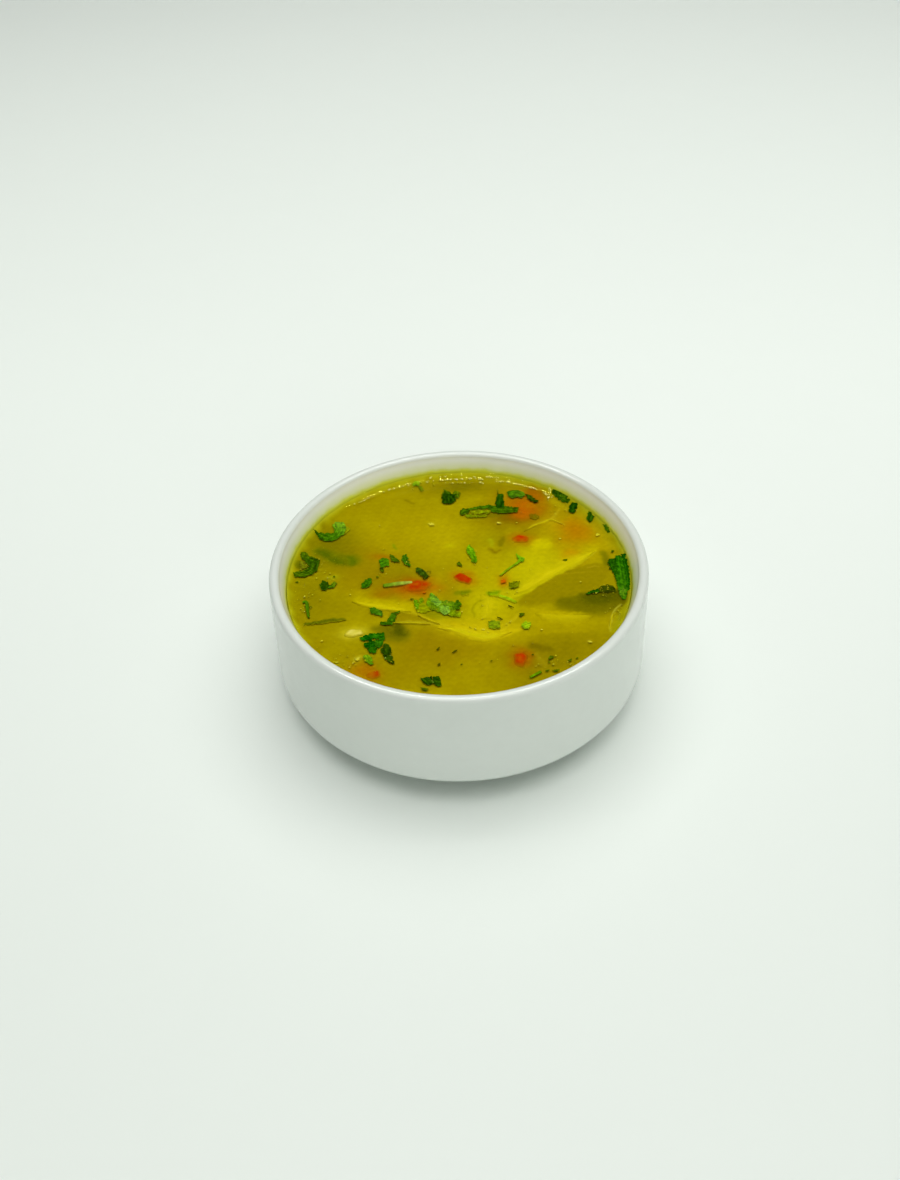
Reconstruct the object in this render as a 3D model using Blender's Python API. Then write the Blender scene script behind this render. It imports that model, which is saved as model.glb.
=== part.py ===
"""Bowl of lemon coriander chicken soup.

A stackable white porcelain bowl stands on its foot ring and is filled with clear yellow broth to
about 9 mm below the rim. Shreds of chicken, diced carrot and red pepper and a piece of garlic sit
in the broth with their tops just out of it. Chopped coriander leaves and stalks lie on top.

Lengths are millimetres until place_mesh() turns them into metres. The origin is the middle of the
foot ring's underside, and +Z is up.
"""
import math
import random

import bmesh
import bpy
from mathutils import Vector

for old_object in list(bpy.data.objects):
    bpy.data.objects.remove(old_object, do_unlink=True)

MM = 0.001                    # metres in a millimetre
GAP = 0.3                     # clearance kept between pieces that touch
TURN_STEPS = 64               # sides of everything that is turned about the bowl's axis

# Bowl
RIM_RADIUS = 70.0             # outside of the lip
RIM_HEIGHT = 52.6
LIP_THICKNESS = 3.8
LIP_DROP = 1.7                # height of the rounded top of the lip
BELLY_RADIUS = 71.0           # the wall is a little fuller above the rounded lower edge
BELLY_HEIGHT = 13.5
BELLY_POWER = 1.75            # how square the rounded lower edge is
FOOT_OUTER = 44.0
FOOT_INNER = 39.5
FOOT_CHAMFER = 0.8
FOOT_HEIGHT = 1.5
LEDGE_RADIUS = 64.4           # inside, just below the stacking ledge
LEDGE_HEIGHT = 45.6
COVE_RADIUS_TOP = 63.5        # inside, where the wall begins to round into the floor
COVE_HEIGHT = 30.0
FLOOR_HEIGHT = 5.5
FLOOR_RADIUS = 38.0

# Broth
BROTH_LEVEL = 43.0
MENISCUS_RISE = 1.0           # how far the broth climbs the wall
MENISCUS_REACH = 2.2          # distance from the wall over which it falls to a third

# Garnish
LEAF_THICKNESS = 0.5
STALK_THICKNESS = 1.0
ON_CHICKEN = 0.75             # extra lift of a herb that lies on a shred or on a dice
FLECK_TOP = 0.4               # a fused fleck stands this far out of the broth
FLECK_ROOT = 0.6


# ---------------------------------------------------------------- materials

def srgb_to_linear(value):
    """One 0-255 display value as linear light."""
    share = value / 255.0
    return share / 12.92 if share <= 0.04045 else ((share + 0.055) / 1.055) ** 2.4


def make_material(name, display_rgb, roughness, coat=0.0):
    """A plain Principled material in a display colour."""
    material = bpy.data.materials.new(name)
    material.use_nodes = True
    shader = material.node_tree.nodes["Principled BSDF"]
    linear = [srgb_to_linear(value) for value in display_rgb]
    shader.inputs["Base Color"].default_value = (*linear, 1.0)
    shader.inputs["Roughness"].default_value = roughness
    shader.inputs["Metallic"].default_value = 0.0
    shader.inputs["Coat Weight"].default_value = coat
    material.diffuse_color = (*linear, 1.0)
    return material


# ---------------------------------------------------------------- mesh helpers

def place_mesh(name, points_mm, faces, material):
    """Closed mesh from points in millimetres, as a named object with its own material."""
    mesh = bpy.data.meshes.new(name)
    mesh.from_pydata([Vector(point) * MM for point in points_mm], [], faces)
    shell = bmesh.new()
    shell.from_mesh(mesh)
    if shell.calc_volume(signed=True) < 0.0:
        bmesh.ops.reverse_faces(shell, faces=shell.faces[:])
    shell.to_mesh(mesh)
    shell.free()
    mesh.materials.append(material)
    mesh.shade_smooth()
    mesh.set_sharp_from_angle(angle=math.radians(40.0))
    placed = bpy.data.objects.new(name, mesh)
    bpy.context.scene.collection.objects.link(placed)
    return placed


def turn_profile(name, profile, material):
    """Solid of revolution: profile runs from axis to axis as (radius, height) pairs."""
    points = []
    rings = []
    for radius, height in profile:
        if radius == 0.0:
            rings.append([len(points)])
            points.append((0.0, 0.0, height))
            continue
        rings.append(list(range(len(points), len(points) + TURN_STEPS)))
        for step in range(TURN_STEPS):
            angle = 2.0 * math.pi * step / TURN_STEPS
            points.append((radius * math.cos(angle), radius * math.sin(angle), height))
    faces = []
    for lower, upper in zip(rings, rings[1:]):
        for step in range(TURN_STEPS):
            after = (step + 1) % TURN_STEPS
            if len(lower) == 1:
                faces.append((lower[0], upper[after], upper[step]))
            elif len(upper) == 1:
                faces.append((lower[step], lower[after], upper[0]))
            else:
                faces.append((lower[step], lower[after], upper[after], upper[step]))
    return place_mesh(name, points, faces, material)


def smooth_path(points, values, stations):
    """Catmull-Rom curve through hand-placed (x, y) points, with one value carried along.

    Returns (centre, direction, value, share along the curve) at each station."""
    knots = [Vector(point) for point in points]
    knots = [2 * knots[0] - knots[1]] + knots + [2 * knots[-1] - knots[-2]]
    curve = []
    for station in range(stations):
        share = station / (stations - 1)
        place = share * (len(points) - 1)
        span = min(int(place), len(points) - 2)
        t = place - span
        before, start, end, after = knots[span:span + 4]
        centre = 0.5 * (2 * start + (end - before) * t
                        + (2 * before - 5 * start + 4 * end - after) * t ** 2
                        + (3 * start - before - 3 * end + after) * t ** 3)
        slope = 0.5 * ((end - before) + 2 * (2 * before - 5 * start + 4 * end - after) * t
                       + 3 * (3 * start - before - 3 * end + after) * t ** 2)
        value = values[span] + (values[span + 1] - values[span]) * t
        curve.append((centre, slope.normalized(), value, share))
    return curve


def prism(name, outline, low, high, material):
    """Upright prism over an (x, y) outline."""
    count = len(outline)
    points = [(x, y, low) for x, y in outline] + [(x, y, high) for x, y in outline]
    faces = [tuple(reversed(range(count))), tuple(range(count, 2 * count))]
    for side in range(count):
        after = (side + 1) % count
        faces.append((side, after, count + after, count + side))
    return place_mesh(name, points, faces, material)


def combine(target, helpers, operation):
    """Apply one Boolean between the target and all helpers, then remove the helpers."""
    group = bpy.data.collections.new(operation.lower() + "_helpers")
    bpy.context.scene.collection.children.link(group)
    for helper in helpers:
        bpy.context.scene.collection.objects.unlink(helper)
        group.objects.link(helper)
    cut = target.modifiers.new(operation.title(), "BOOLEAN")
    cut.operation = operation
    cut.operand_type = "COLLECTION"
    cut.collection = group
    cut.solver = "EXACT"
    evaluated = target.evaluated_get(bpy.context.evaluated_depsgraph_get())
    result = bpy.data.meshes.new_from_object(evaluated)
    target.modifiers.remove(cut)
    target.data = result
    for helper in helpers:
        bpy.data.objects.remove(helper, do_unlink=True)
    bpy.data.collections.remove(group)


# ---------------------------------------------------------------- bowl and broth

def inner_wall():
    """Inside of the bowl from the floor's edge up to the ledge, as (radius, height) pairs."""
    points = []
    cove_steps = 6
    for step in range(cove_steps + 1):
        angle = 0.5 * math.pi * step / cove_steps
        radius = FLOOR_RADIUS + (COVE_RADIUS_TOP - FLOOR_RADIUS) * math.sin(angle)
        height = COVE_HEIGHT - (COVE_HEIGHT - FLOOR_HEIGHT) * math.cos(angle)
        points.append((radius, height))
    points.append((LEDGE_RADIUS, LEDGE_HEIGHT))
    return points


def outer_wall():
    """Outside of the bowl from the foot up to the lip, as (radius, height) pairs."""
    points = []
    belly_steps = 6
    for step in range(belly_steps + 1):
        rise = (step / belly_steps) ** 1.6
        height = FOOT_HEIGHT + (BELLY_HEIGHT - FOOT_HEIGHT) * rise
        bulge = (1.0 - (1.0 - rise) ** BELLY_POWER) ** (1.0 / BELLY_POWER)
        points.append((FOOT_OUTER + (BELLY_RADIUS - FOOT_OUTER) * bulge, height))
    return points


def lip():
    """Rounded top of the lip, from its outside over to its inside."""
    points = []
    lip_steps = 6
    middle = RIM_RADIUS - 0.5 * LIP_THICKNESS
    for step in range(lip_steps + 1):
        angle = math.pi * step / lip_steps
        radius = middle + 0.5 * LIP_THICKNESS * math.cos(angle)
        points.append((radius, RIM_HEIGHT - LIP_DROP + LIP_DROP * math.sin(angle)))
    return points


def make_bowl(material):
    """Foot ring, rounded belly, upright wall, lip, stacking ledge and coved floor."""
    foot = [(0.0, FOOT_HEIGHT), (FOOT_INNER, FOOT_HEIGHT), (FOOT_INNER + FOOT_CHAMFER, 0.0),
            (FOOT_OUTER - FOOT_CHAMFER, 0.0)]
    inside = list(reversed(inner_wall())) + [(0.0, FLOOR_HEIGHT)]
    return turn_profile("bowl", foot + outer_wall() + lip() + inside, material)


def wall_radius(height):
    """Radius of the broth's edge at a height, one gap inside the wall."""
    share = (height - COVE_HEIGHT) / (LEDGE_HEIGHT - COVE_HEIGHT)
    return COVE_RADIUS_TOP + (LEDGE_RADIUS - COVE_RADIUS_TOP) * share - GAP


def broth_height(x, y):
    """Level of the broth at a place: flat, then climbing the wall in an exponential curve."""
    inset = max(wall_radius(BROTH_LEVEL) - math.hypot(x, y), 0.0)
    return BROTH_LEVEL + MENISCUS_RISE * math.exp(-inset / MENISCUS_REACH)


def make_broth(material):
    """Broth that fills the bowl one gap inside its wall, with a meniscus round the edge."""
    shore = wall_radius(BROTH_LEVEL)
    below = [(0.0, FLOOR_HEIGHT + GAP)]
    below += [(radius - GAP, height + GAP) for radius, height in inner_wall()[:-1]]
    flat_radius = shore - 4.0 * MENISCUS_REACH
    top = [(shore, broth_height(shore, 0.0))]
    top += [(shore - inset, broth_height(shore - inset, 0.0)) for inset in (0.8, 1.9, 3.4, 5.6)]
    top += [(flat_radius, BROTH_LEVEL), (0.0, BROTH_LEVEL)]
    return turn_profile("broth", below + top, material)


# ---------------------------------------------------------------- shreds and dice

def shred(name, path, widths, depth, material, stations=8, crest=0.45, phase=0.0):
    """Flat strip of torn chicken whose crest stands just out of the broth.

    Six points round each station: two on the crest, two at the widest just under the level, two
    below. Returns the strip and the upright cutter of its pocket."""
    points = []
    left_edge = []
    right_edge = []
    curve = smooth_path(path, widths, stations)
    for centre, direction, width, share in curve:
        side = Vector((-direction.y, direction.x))
        ripple = crest * (0.8 + 0.3 * math.sin(5.0 * share + phase))
        section = ((-0.5, -0.15), (-0.22, ripple), (0.25, 0.8 * ripple),
                   (0.5, -0.15), (0.3, -depth), (-0.34, -0.9 * depth))
        for across, rise in section:
            spot = centre + side * width * across
            points.append((spot.x, spot.y, BROTH_LEVEL + rise))
        reach = Vector((0.0, 0.0))
        if share == 0.0:
            reach = -direction * GAP
        elif share == 1.0:
            reach = direction * GAP
        left_edge.append(centre + reach + side * (0.5 * width + GAP))
        right_edge.append(centre + reach - side * (0.5 * width + GAP))
    faces = [tuple(range(6))]
    for station in range(stations - 1):
        for corner in range(6):
            after = (corner + 1) % 6
            here = 6 * station
            faces.append((here + after, here + corner, here + 6 + corner, here + 6 + after))
    faces.append(tuple(reversed(range(6 * (stations - 1), 6 * stations))))
    strip = place_mesh(name, points, faces, material)
    outline = [tuple(spot) for spot in left_edge + list(reversed(right_edge))]
    pocket = prism(name + "_pocket", outline, BROTH_LEVEL - depth - GAP, RIM_HEIGHT, material)
    return strip, pocket


def dice(name, centre, size, heading, material, top=0.5, seed=1):
    """Rounded, slightly uneven block cut by hand, most of it sunk in the broth.

    Four rings of a superellipse outline, drawn in at top and bottom. Returns the block and the
    upright cutter of its pocket."""
    draw = random.Random(seed)
    corners = 10
    length, width, height = size
    turn = math.radians(heading)
    spread = [draw.uniform(0.9, 1.08) for _ in range(corners)]
    levels = ((-height + top, 0.72), (-0.6 * height + top, 1.0), (-0.05, 1.0), (top, 0.72))

    def outline(scale, grow):
        ring = []
        for corner in range(corners):
            angle = 2.0 * math.pi * corner / corners
            across = math.copysign(abs(math.cos(angle)) ** 0.7, math.cos(angle))
            along = math.copysign(abs(math.sin(angle)) ** 0.7, math.sin(angle))
            x = (0.5 * length * scale * spread[corner] + grow) * across
            y = (0.5 * width * scale * spread[corner] + grow) * along
            ring.append((centre[0] + x * math.cos(turn) - y * math.sin(turn),
                         centre[1] + x * math.sin(turn) + y * math.cos(turn)))
        return ring

    points = []
    for rise, scale in levels:
        points += [(x, y, BROTH_LEVEL + rise) for x, y in outline(scale, 0.0)]
    faces = [tuple(reversed(range(corners)))]
    for level in range(len(levels) - 1):
        for corner in range(corners):
            after = (corner + 1) % corners
            here = corners * level
            faces.append((here + corner, here + after,
                          here + corners + after, here + corners + corner))
    faces.append(tuple(range(corners * (len(levels) - 1), corners * len(levels))))
    block = place_mesh(name, points, faces, material)
    pocket = prism(name + "_pocket", outline(1.0, 1.3 * GAP),
                   BROTH_LEVEL - height + top - GAP, RIM_HEIGHT, material)
    return block, pocket


# ---------------------------------------------------------------- herbs

def thin_solid(name, lower_points, triangles, rim, thickness, material):
    """Closed sheet: the triangles once below, once above in the same split, and a wall between.

    rim is the loop of point numbers round the sheet, counter-clockwise from above."""
    count = len(lower_points)
    points = lower_points + [(x, y, z + thickness) for x, y, z in lower_points]
    faces = [tuple(reversed(triangle)) for triangle in triangles]
    faces += [tuple(count + corner for corner in triangle) for triangle in triangles]
    for here, after in zip(rim, rim[1:] + rim[:1]):
        faces.append((here, after, count + after))
        faces.append((here, count + after, count + here))
    return place_mesh(name, points, faces, material)


def strip_leaf(name, path, widths, material, thickness=LEAF_THICKNESS, lift=0.0, fold=0.3,
               teeth=0.0, stations=6, phase=0.0):
    """Narrow leaf or stalk: three points across each station, the middle one raised by fold.

    The edges swing in and out by teeth, and the sheet ripples along its length."""
    points = []
    for centre, direction, width, share in smooth_path(path, widths, stations):
        side = Vector((-direction.y, direction.x))
        for across in (1, 0, -1):
            notch = 1.0 + teeth * math.cos(2.6 * math.pi * share * (stations - 1) / 2 + across)
            spot = centre + side * 0.5 * width * across * notch
            ripple = 0.15 * (1.0 + math.sin(7.0 * share + across + phase))
            rise = GAP + lift + fold * (1 - abs(across)) + ripple
            points.append((spot.x, spot.y, broth_height(spot.x, spot.y) + rise))
    triangles = []
    for station in range(stations - 1):
        for column in range(2):
            here = 3 * station + column
            triangles.append((here, here + 1, here + 4))
            triangles.append((here, here + 4, here + 3))
    left_side = [3 * station for station in range(stations)]
    right_side = [3 * station + 2 for station in range(stations)]
    rim = [0, 1] + right_side + [3 * stations - 2] + list(reversed(left_side[1:]))
    return thin_solid(name, points, triangles, rim, thickness, material)


def lobed_leaf(name, centre, size, heading, material, lobes=5, cut=0.22, lift=0.0, cup=0.4,
               phase=0.0, corners=14):
    """Broad leaf: a lobed outline round its middle, cupped and rippled.

    The outline's radius swings by cut, lobes times round."""
    length, width = size
    turn = math.radians(heading)
    points = []
    for corner in range(corners):
        angle = 2.0 * math.pi * corner / corners
        reach = 1.0 + cut * math.cos(lobes * angle + phase)
        x = 0.5 * length * reach / (1.0 + cut) * math.cos(angle)
        y = 0.5 * width * reach / (1.0 + cut) * math.sin(angle)
        spot_x = centre[0] + x * math.cos(turn) - y * math.sin(turn)
        spot_y = centre[1] + x * math.sin(turn) + y * math.cos(turn)
        ripple = 0.25 * (1.0 + math.sin(3.0 * angle + phase))
        points.append((spot_x, spot_y, broth_height(spot_x, spot_y) + GAP + lift + ripple))
    middle = broth_height(*centre) + GAP + lift + cup
    points.append((centre[0], centre[1], middle))
    triangles = [(corner, (corner + 1) % corners, corners) for corner in range(corners)]
    return thin_solid(name, points, triangles, list(range(corners)), LEAF_THICKNESS, material)


# ---------------------------------------------------------------- build

porcelain = make_material("white porcelain", (228, 232, 226), 0.12, coat=0.5)
broth_yellow = make_material("yellow broth", (166, 150, 5), 0.1, coat=1.0)
chicken_meat = make_material("chicken in broth", (200, 184, 20), 0.4, coat=0.5)
pepper_red = make_material("red pepper", (200, 60, 20), 0.3, coat=0.4)
carrot_orange = make_material("carrot", (205, 110, 15), 0.35, coat=0.4)
garlic_cream = make_material("garlic", (225, 215, 120), 0.4, coat=0.3)
leaf_dark = make_material("dark coriander leaf", (25, 85, 5), 0.45)
leaf_bright = make_material("bright coriander leaf", (65, 140, 30), 0.45)
stalk_green = make_material("coriander stalk", (110, 150, 30), 0.4)
stalk_pale = make_material("pale coriander stalk", (165, 180, 95), 0.4)

bowl = make_bowl(porcelain)
broth = make_broth(broth_yellow)

# Chicken: (name, path in x and y, widths along it, depth, stations)
SHREDS = (
    ("chicken_ridge", ((19.5, -7), (26, -2), (33, 3), (41, 8.5), (48, 15), (52.5, 18)),
     (4.5, 8, 9, 8, 5.5, 2), 3.0, 9),
    ("chicken_crest", ((-8.5, -25), (-2, -26.8), (4, -30), (10, -31.5), (18, -28)),
     (1.5, 3.5, 5, 4.5, 2), 3.0, 8),
    ("chicken_band_right", ((27, -20), (34, -23), (42, -24), (48, -24)), (2.5, 6, 6, 2.5), 2.5, 7),
    ("chicken_band_left", ((-40, -9.5), (-33, -14), (-24, -16), (-17.5, -17)),
     (1.5, 3.6, 3.6, 1.5), 2.0, 7),
    ("chicken_fibre_long", ((-27, -22.8), (-18, -23.4), (-10.8, -24)), (0.9, 1.5, 0.9), 1.2, 6),
    ("chicken_fibre_short", ((-15, -18.9), (-11, -20.6), (-7.5, -22.6)), (0.9, 1.3, 0.9), 1.2, 5),
    ("chicken_film", ((25, 27.5), (32, 31), (38.4, 35.2), (42.2, 35.4), (43.4, 30)),
     (0.9, 1.6, 1.8, 1.8, 1), 1.5, 11),
    ("chicken_centre", ((8, -8), (10.5, -13), (9.8, -18), (7, -22)), (2.5, 6, 6, 2), 2.5, 7),
    ("chicken_fibre_wall", ((55, -20), (53.4, -23.5), (54.4, -27.5)), (0.9, 1.5, 0.9), 1.2, 5),
)
pockets = []
for index, (name, path, widths, depth, stations) in enumerate(SHREDS):
    strip, pocket = shred(name, path, widths, depth, chicken_meat, stations, phase=1.3 * index)
    pockets.append(pocket)

# Dice: (name, middle, (length, width, height), heading, how far out, material)
DICE = (
    ("pepper_long", (-16.2, -3.2), (9.5, 5.0, 3.0), 4, 0.35, pepper_red),
    ("pepper_middle", (1.6, 0.9), (6.8, 4.0, 3.0), -38, 0.6, pepper_red),
    ("pepper_back", (25.0, 22.6), (5.6, 3.2, 2.6), 0, 0.45, pepper_red),
    ("pepper_front", (20.3, -42.1), (4.8, 5.2, 3.2), 60, 0.5, pepper_red),
    ("pepper_front_left", (-31.2, -46.8), (6.0, 4.2, 3.0), 20, 0.5, pepper_red),
    ("carrot_back", (28.8, 42.8), (11.0, 7.6, 4.0), -28, 0.35, carrot_orange),
    ("garlic", (-38.5, -26.4), (7.2, 3.6, 3.0), 6, 0.6, garlic_cream),
)
for index, (name, centre, size, heading, top, material) in enumerate(DICE):
    block, pocket = dice(name, centre, size, heading, material, top, seed=20 + index)
    pockets.append(pocket)

combine(broth, pockets, "DIFFERENCE")

# Leaves with a broad outline: (name, middle, (length, width), heading, lobes, cut, lift, material)
BROAD_LEAVES = (
    ("leaf_left_small", (-48.9, -0.4), (7.0, 6.0), 20, 4, 0.25, 0.0, leaf_dark),
    ("leaf_pair", (-26.6, 12.4), (9.0, 5.4), 22, 2, 0.22, 0.0, leaf_bright),
    ("leaf_middle", (-8.6, -13.0), (16.6, 10.4), -14, 5, 0.3, 0.0, leaf_bright),
    ("leaf_front_light", (-33.0, -39.4), (5.6, 3.8), -60, 3, 0.2, 0.0, leaf_bright),
    ("leaf_front", (-11.0, -51.4), (8.4, 5.8), -20, 4, 0.16, 0.0, leaf_dark),
    ("leaf_wall_back", (-15.6, 56.6), (6.0, 3.8), 66, 3, 0.2, 0.0, leaf_bright),
    ("leaf_back", (-1.3, 50.6), (9.2, 8.2), 35, 4, 0.22, 0.0, leaf_dark),
    ("leaf_back_bright", (24.6, 52.2), (7.4, 5.4), 8, 4, 0.18, 0.0, leaf_bright),
    ("leaf_wall_right_b", (44.8, 39.8), (5.8, 4.2), 60, 3, 0.18, 0.0, leaf_dark),
    ("leaf_round", (23.5, -25.6), (4.4, 3.9), 15, 2, 0.08, 0.0, leaf_bright),
    ("leaf_square", (12.2, -24.5), (4.8, 3.8), 0, 4, 0.1, 0.0, leaf_bright),
    ("leaf_olive", (20.9, -3.4), (4.8, 3.8), 10, 3, 0.15, ON_CHICKEN, stalk_green),
)
for index, (name, centre, size, heading, lobes, cut, lift, material) in enumerate(BROAD_LEAVES):
    lobed_leaf(name, centre, size, heading, material, lobes, cut, lift, phase=1.1 * index)

# Narrow leaves: (name, path, widths, teeth, lift, stations, material)
NARROW_LEAVES = (
    ("leaf_crescent", ((-54.6, 30.2), (-51.8, 27.2), (-47.6, 27.8), (-45.0, 31.6), (-46.0, 35.4)),
     (0.8, 4.0, 4.4, 4.8, 1.6), 0.12, 0.0, 10, leaf_bright),
    ("leaf_curl", ((-60.0, 5.6), (-55.4, 7.0), (-53.2, 11.2), (-55.4, 15.4), (-57.8, 18.2)),
     (1.2, 4.6, 6.0, 5.6, 1.4), 0.14, 0.0, 9, leaf_dark),
    ("leaf_strip_left", ((-20.6, 15.8), (-19.0, 8.8)), (2.6, 3.0), 0.1, 0.0, 4, leaf_dark),
    ("leaf_chip_left", ((-36.4, -1.8), (-32.6, 1.2)), (2.4, 2.8), 0.1, 0.0, 4, leaf_bright),
    ("leaf_dark_middle", ((-16.0, 7.2), (-13.2, 3.6), (-10.8, 1.0)), (2.4, 4.2, 1.6), 0.12, 0.0,
     5, leaf_dark),
    ("leaf_block_left", ((-33.0, -14.4), (-28.2, -17.2)), (3.8, 3.4), 0.06, ON_CHICKEN, 4,
     leaf_dark),
    ("leaf_fork", ((-29.0, -21.6), (-26.0, -19.4), (-22.4, -16.0)), (1.2, 1.8, 4.6), 0.1,
     ON_CHICKEN, 6, leaf_dark),
    ("leaf_dark_front", ((-27.6, -32.9), (-25.6, -37.0), (-23.8, -41.2)), (2.0, 4.8, 1.2), 0.12,
     0.0, 6, leaf_dark),
    ("leaf_on_carrot", ((29.4, 50.0), (33.2, 44.6)), (2.2, 2.4), 0.1, ON_CHICKEN, 5, leaf_dark),
    ("leaf_by_carrot", ((29.4, 37.0), (33.6, 35.2)), (1.4, 1.6), 0.0, 0.0, 4, leaf_dark),
    ("leaf_wall_right_a", ((37.2, 48.6), (41.8, 42.2)), (3.0, 3.6), 0.12, 0.0, 6, leaf_dark),
    ("leaf_wall_right_c", ((49.6, 35.8), (51.4, 30.2)), (2.2, 2.8), 0.1, 0.0, 4, leaf_dark),
    ("leaf_wall_right_d", ((55.6, 27.2), (56.8, 22.8)), (1.8, 2.0), 0.1, 0.0, 4, leaf_dark),
    ("leaf_fan", ((57.0, 9.2), (57.4, 1.6), (57.6, -7.0), (57.2, -14.6)), (8.6, 6.6, 4.4, 2.6),
     0.1, 0.35, 10, leaf_bright),
    ("leaf_right_dark", ((46.8, -9.6), (50.2, -8.4), (54.0, -6.6)), (1.4, 3.2, 2.0), 0.1, 0.0, 6,
     leaf_dark),
)
for index, (name, path, widths, teeth, lift, stations, material) in enumerate(NARROW_LEAVES):
    strip_leaf(name, path, widths, material, LEAF_THICKNESS, lift, 0.3, teeth, stations,
               0.9 * index)

# Stalks: (name, path, widths, lift, stations, material)
STALKS = (
    ("stalk_pale", ((-28.8, -2.2), (-23.0, -1.6), (-17.4, -0.4)), (1.2, 2.0, 1.4), ON_CHICKEN, 6,
     stalk_pale),
    ("stalk_left", ((-57.4, -9.4), (-56.0, -13.2), (-55.2, -17.4)), (1.3, 1.6, 1.3), 0.0, 5,
     stalk_green),
    ("stalk_middle", ((4.4, 19.6), (5.4, 14.8), (7.0, 10.2)), (2.8, 3.0, 2.2), 0.0, 5,
     leaf_bright),
    ("stalk_forked", ((15.6, 1.8), (19.4, 6.4), (22.0, 9.4), (24.6, 11.6)), (1.1, 1.2, 1.6, 4.8),
     0.0, 8, leaf_bright),
    ("stalk_light", ((13.0, -7.6), (16.2, -9.4), (21.0, -13.2)), (1.4, 2.0, 2.4), ON_CHICKEN, 6,
     stalk_green),
    ("stalk_front", ((22.6, -51.4), (27.0, -49.0)), (1.4, 1.6), 0.0, 4, stalk_green),
)
for index, (name, path, widths, lift, stations, material) in enumerate(STALKS):
    strip_leaf(name, path, widths, material, STALK_THICKNESS, lift, 0.3, 0.0, stations,
               0.7 * index)

# Two sprigs are several strips grown together: (name, strips of (path, widths, lift))
SPRIGS = (
    ("stalk_back", leaf_dark, (
        (((1.8, 40.0), (9.0, 39.4), (17.0, 41.0), (22.8, 41.4)), (1.6, 3.2, 2.6, 2.0), 0.0),
        (((17.4, 38.8), (17.8, 45.6), (17.4, 52.6)), (3.2, 3.0, 1.4), 0.12),
    )),
    ("leaf_sprig", leaf_dark, (
        (((-36.4, -28.6), (-32.0, -27.4), (-28.2, -27.0)), (1.6, 2.6, 1.8), 0.0),
        (((-36.2, -33.0), (-31.6, -31.2), (-27.6, -30.0)), (1.6, 2.8, 1.8), 0.0),
        (((-34.6, -36.2), (-30.6, -34.8), (-29.2, -34.0)), (1.4, 2.4, 1.4), 0.0),
        (((-30.2, -26.2), (-31.0, -31.0), (-31.4, -36.0)), (1.6, 1.8, 1.2), 0.16),
    )),
)
for name, material, strips in SPRIGS:
    parts = []
    for index, (path, widths, lift) in enumerate(strips):
        parts.append(strip_leaf(name if index == 0 else name + "_part", path, widths, material,
                                0.7, lift, 0.25, 0.0, 6, 0.8 * index))
    combine(parts[0], parts[1:], "UNION")

# Flecks of herb, pepper and pale scraps, fused to the broth: (middle, (length, width), heading)
FLECKS = (
    ((16.7, -1.6), (2.8, 2.2), 70), ((0.6, 8.8), (3.0, 2.0), -60), ((-23.6, 18.8), (2.6, 1.8), 80),
    ((22.2, -20.0), (2.2, 1.8), 20), ((30.8, -42.5), (2.8, 1.8), 30), ((32.3, -48.7), (2.0, 1.2), 0),
    ((37.3, -44.1), (1.6, 1.2), 40), ((45.2, -35.5), (1.8, 1.1), -30),
    ((-13.3, -54.6), (2.2, 1.6), 10), ((-36.6, -39.6), (2.0, 1.4), 50),
    ((-9.6, 33.2), (2.4, 1.8), 0), ((55.0, 19.2), (2.2, 1.6), 30), ((22.6, -15.9), (2.6, 0.7), -25),
    ((15.6, -20.9), (2.6, 0.7), -30), ((0.6, -43.6), (2.8, 0.7), 35), ((-5.6, -43.0), (2.0, 0.8), 50),
    ((-27.8, -7.6), (3.0, 1.8), 10), ((2.4, -8.6), (3.2, 1.6), 20), ((49.2, 2.0), (2.2, 1.2), -10),
    ((12.0, 22.4), (2.2, 1.2), 15), ((-44.0, 20.5), (2.0, 1.1), -20), ((-43.0, -41.0), (1.6, 1.1), 0),
    ((38.6, -10.2), (1.8, 1.0), 30), ((-3.2, 22.0), (1.6, 1.0), 60), ((-50.0, -30.5), (1.8, 1.0), 20),
)
fleck_draw = random.Random(7)
fleck_solids = []
for (x, y), (length, width), heading in FLECKS:
    turn = math.radians(heading)
    outline = []
    for corner in range(5):
        angle = 2.0 * math.pi * corner / 5 + fleck_draw.uniform(-0.2, 0.2)
        along = 0.5 * length * math.cos(angle)
        across = 0.5 * width * math.sin(angle)
        outline.append((x + along * math.cos(turn) - across * math.sin(turn),
                        y + along * math.sin(turn) + across * math.cos(turn)))
    level = broth_height(x, y)
    fleck_solids.append(prism("fleck", outline, level - FLECK_ROOT, level + FLECK_TOP,
                              broth_yellow))
combine(broth, fleck_solids, "UNION")
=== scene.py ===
import math

import bpy
import numpy as np
from mathutils import Matrix, Vector


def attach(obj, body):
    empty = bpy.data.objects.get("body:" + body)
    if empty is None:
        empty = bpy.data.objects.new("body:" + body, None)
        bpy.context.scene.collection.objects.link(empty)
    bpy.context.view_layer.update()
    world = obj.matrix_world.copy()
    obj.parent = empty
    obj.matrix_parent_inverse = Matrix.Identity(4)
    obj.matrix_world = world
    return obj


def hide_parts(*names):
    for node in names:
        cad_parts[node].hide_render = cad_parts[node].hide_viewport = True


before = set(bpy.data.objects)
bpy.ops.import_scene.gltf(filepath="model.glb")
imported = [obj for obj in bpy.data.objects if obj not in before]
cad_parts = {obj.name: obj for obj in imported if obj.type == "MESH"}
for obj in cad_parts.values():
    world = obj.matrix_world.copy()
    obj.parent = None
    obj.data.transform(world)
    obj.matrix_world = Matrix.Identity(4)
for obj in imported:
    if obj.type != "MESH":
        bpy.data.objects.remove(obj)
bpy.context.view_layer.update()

# ------------------------------------------------------------------ studio
# The bowl stands on a pale seamless table under one large soft light overhead, with a weak fill
# from the front. Two narrow strips put the glints on whatever is wet. The camera looks down into
# the bowl from in front of it.

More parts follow.
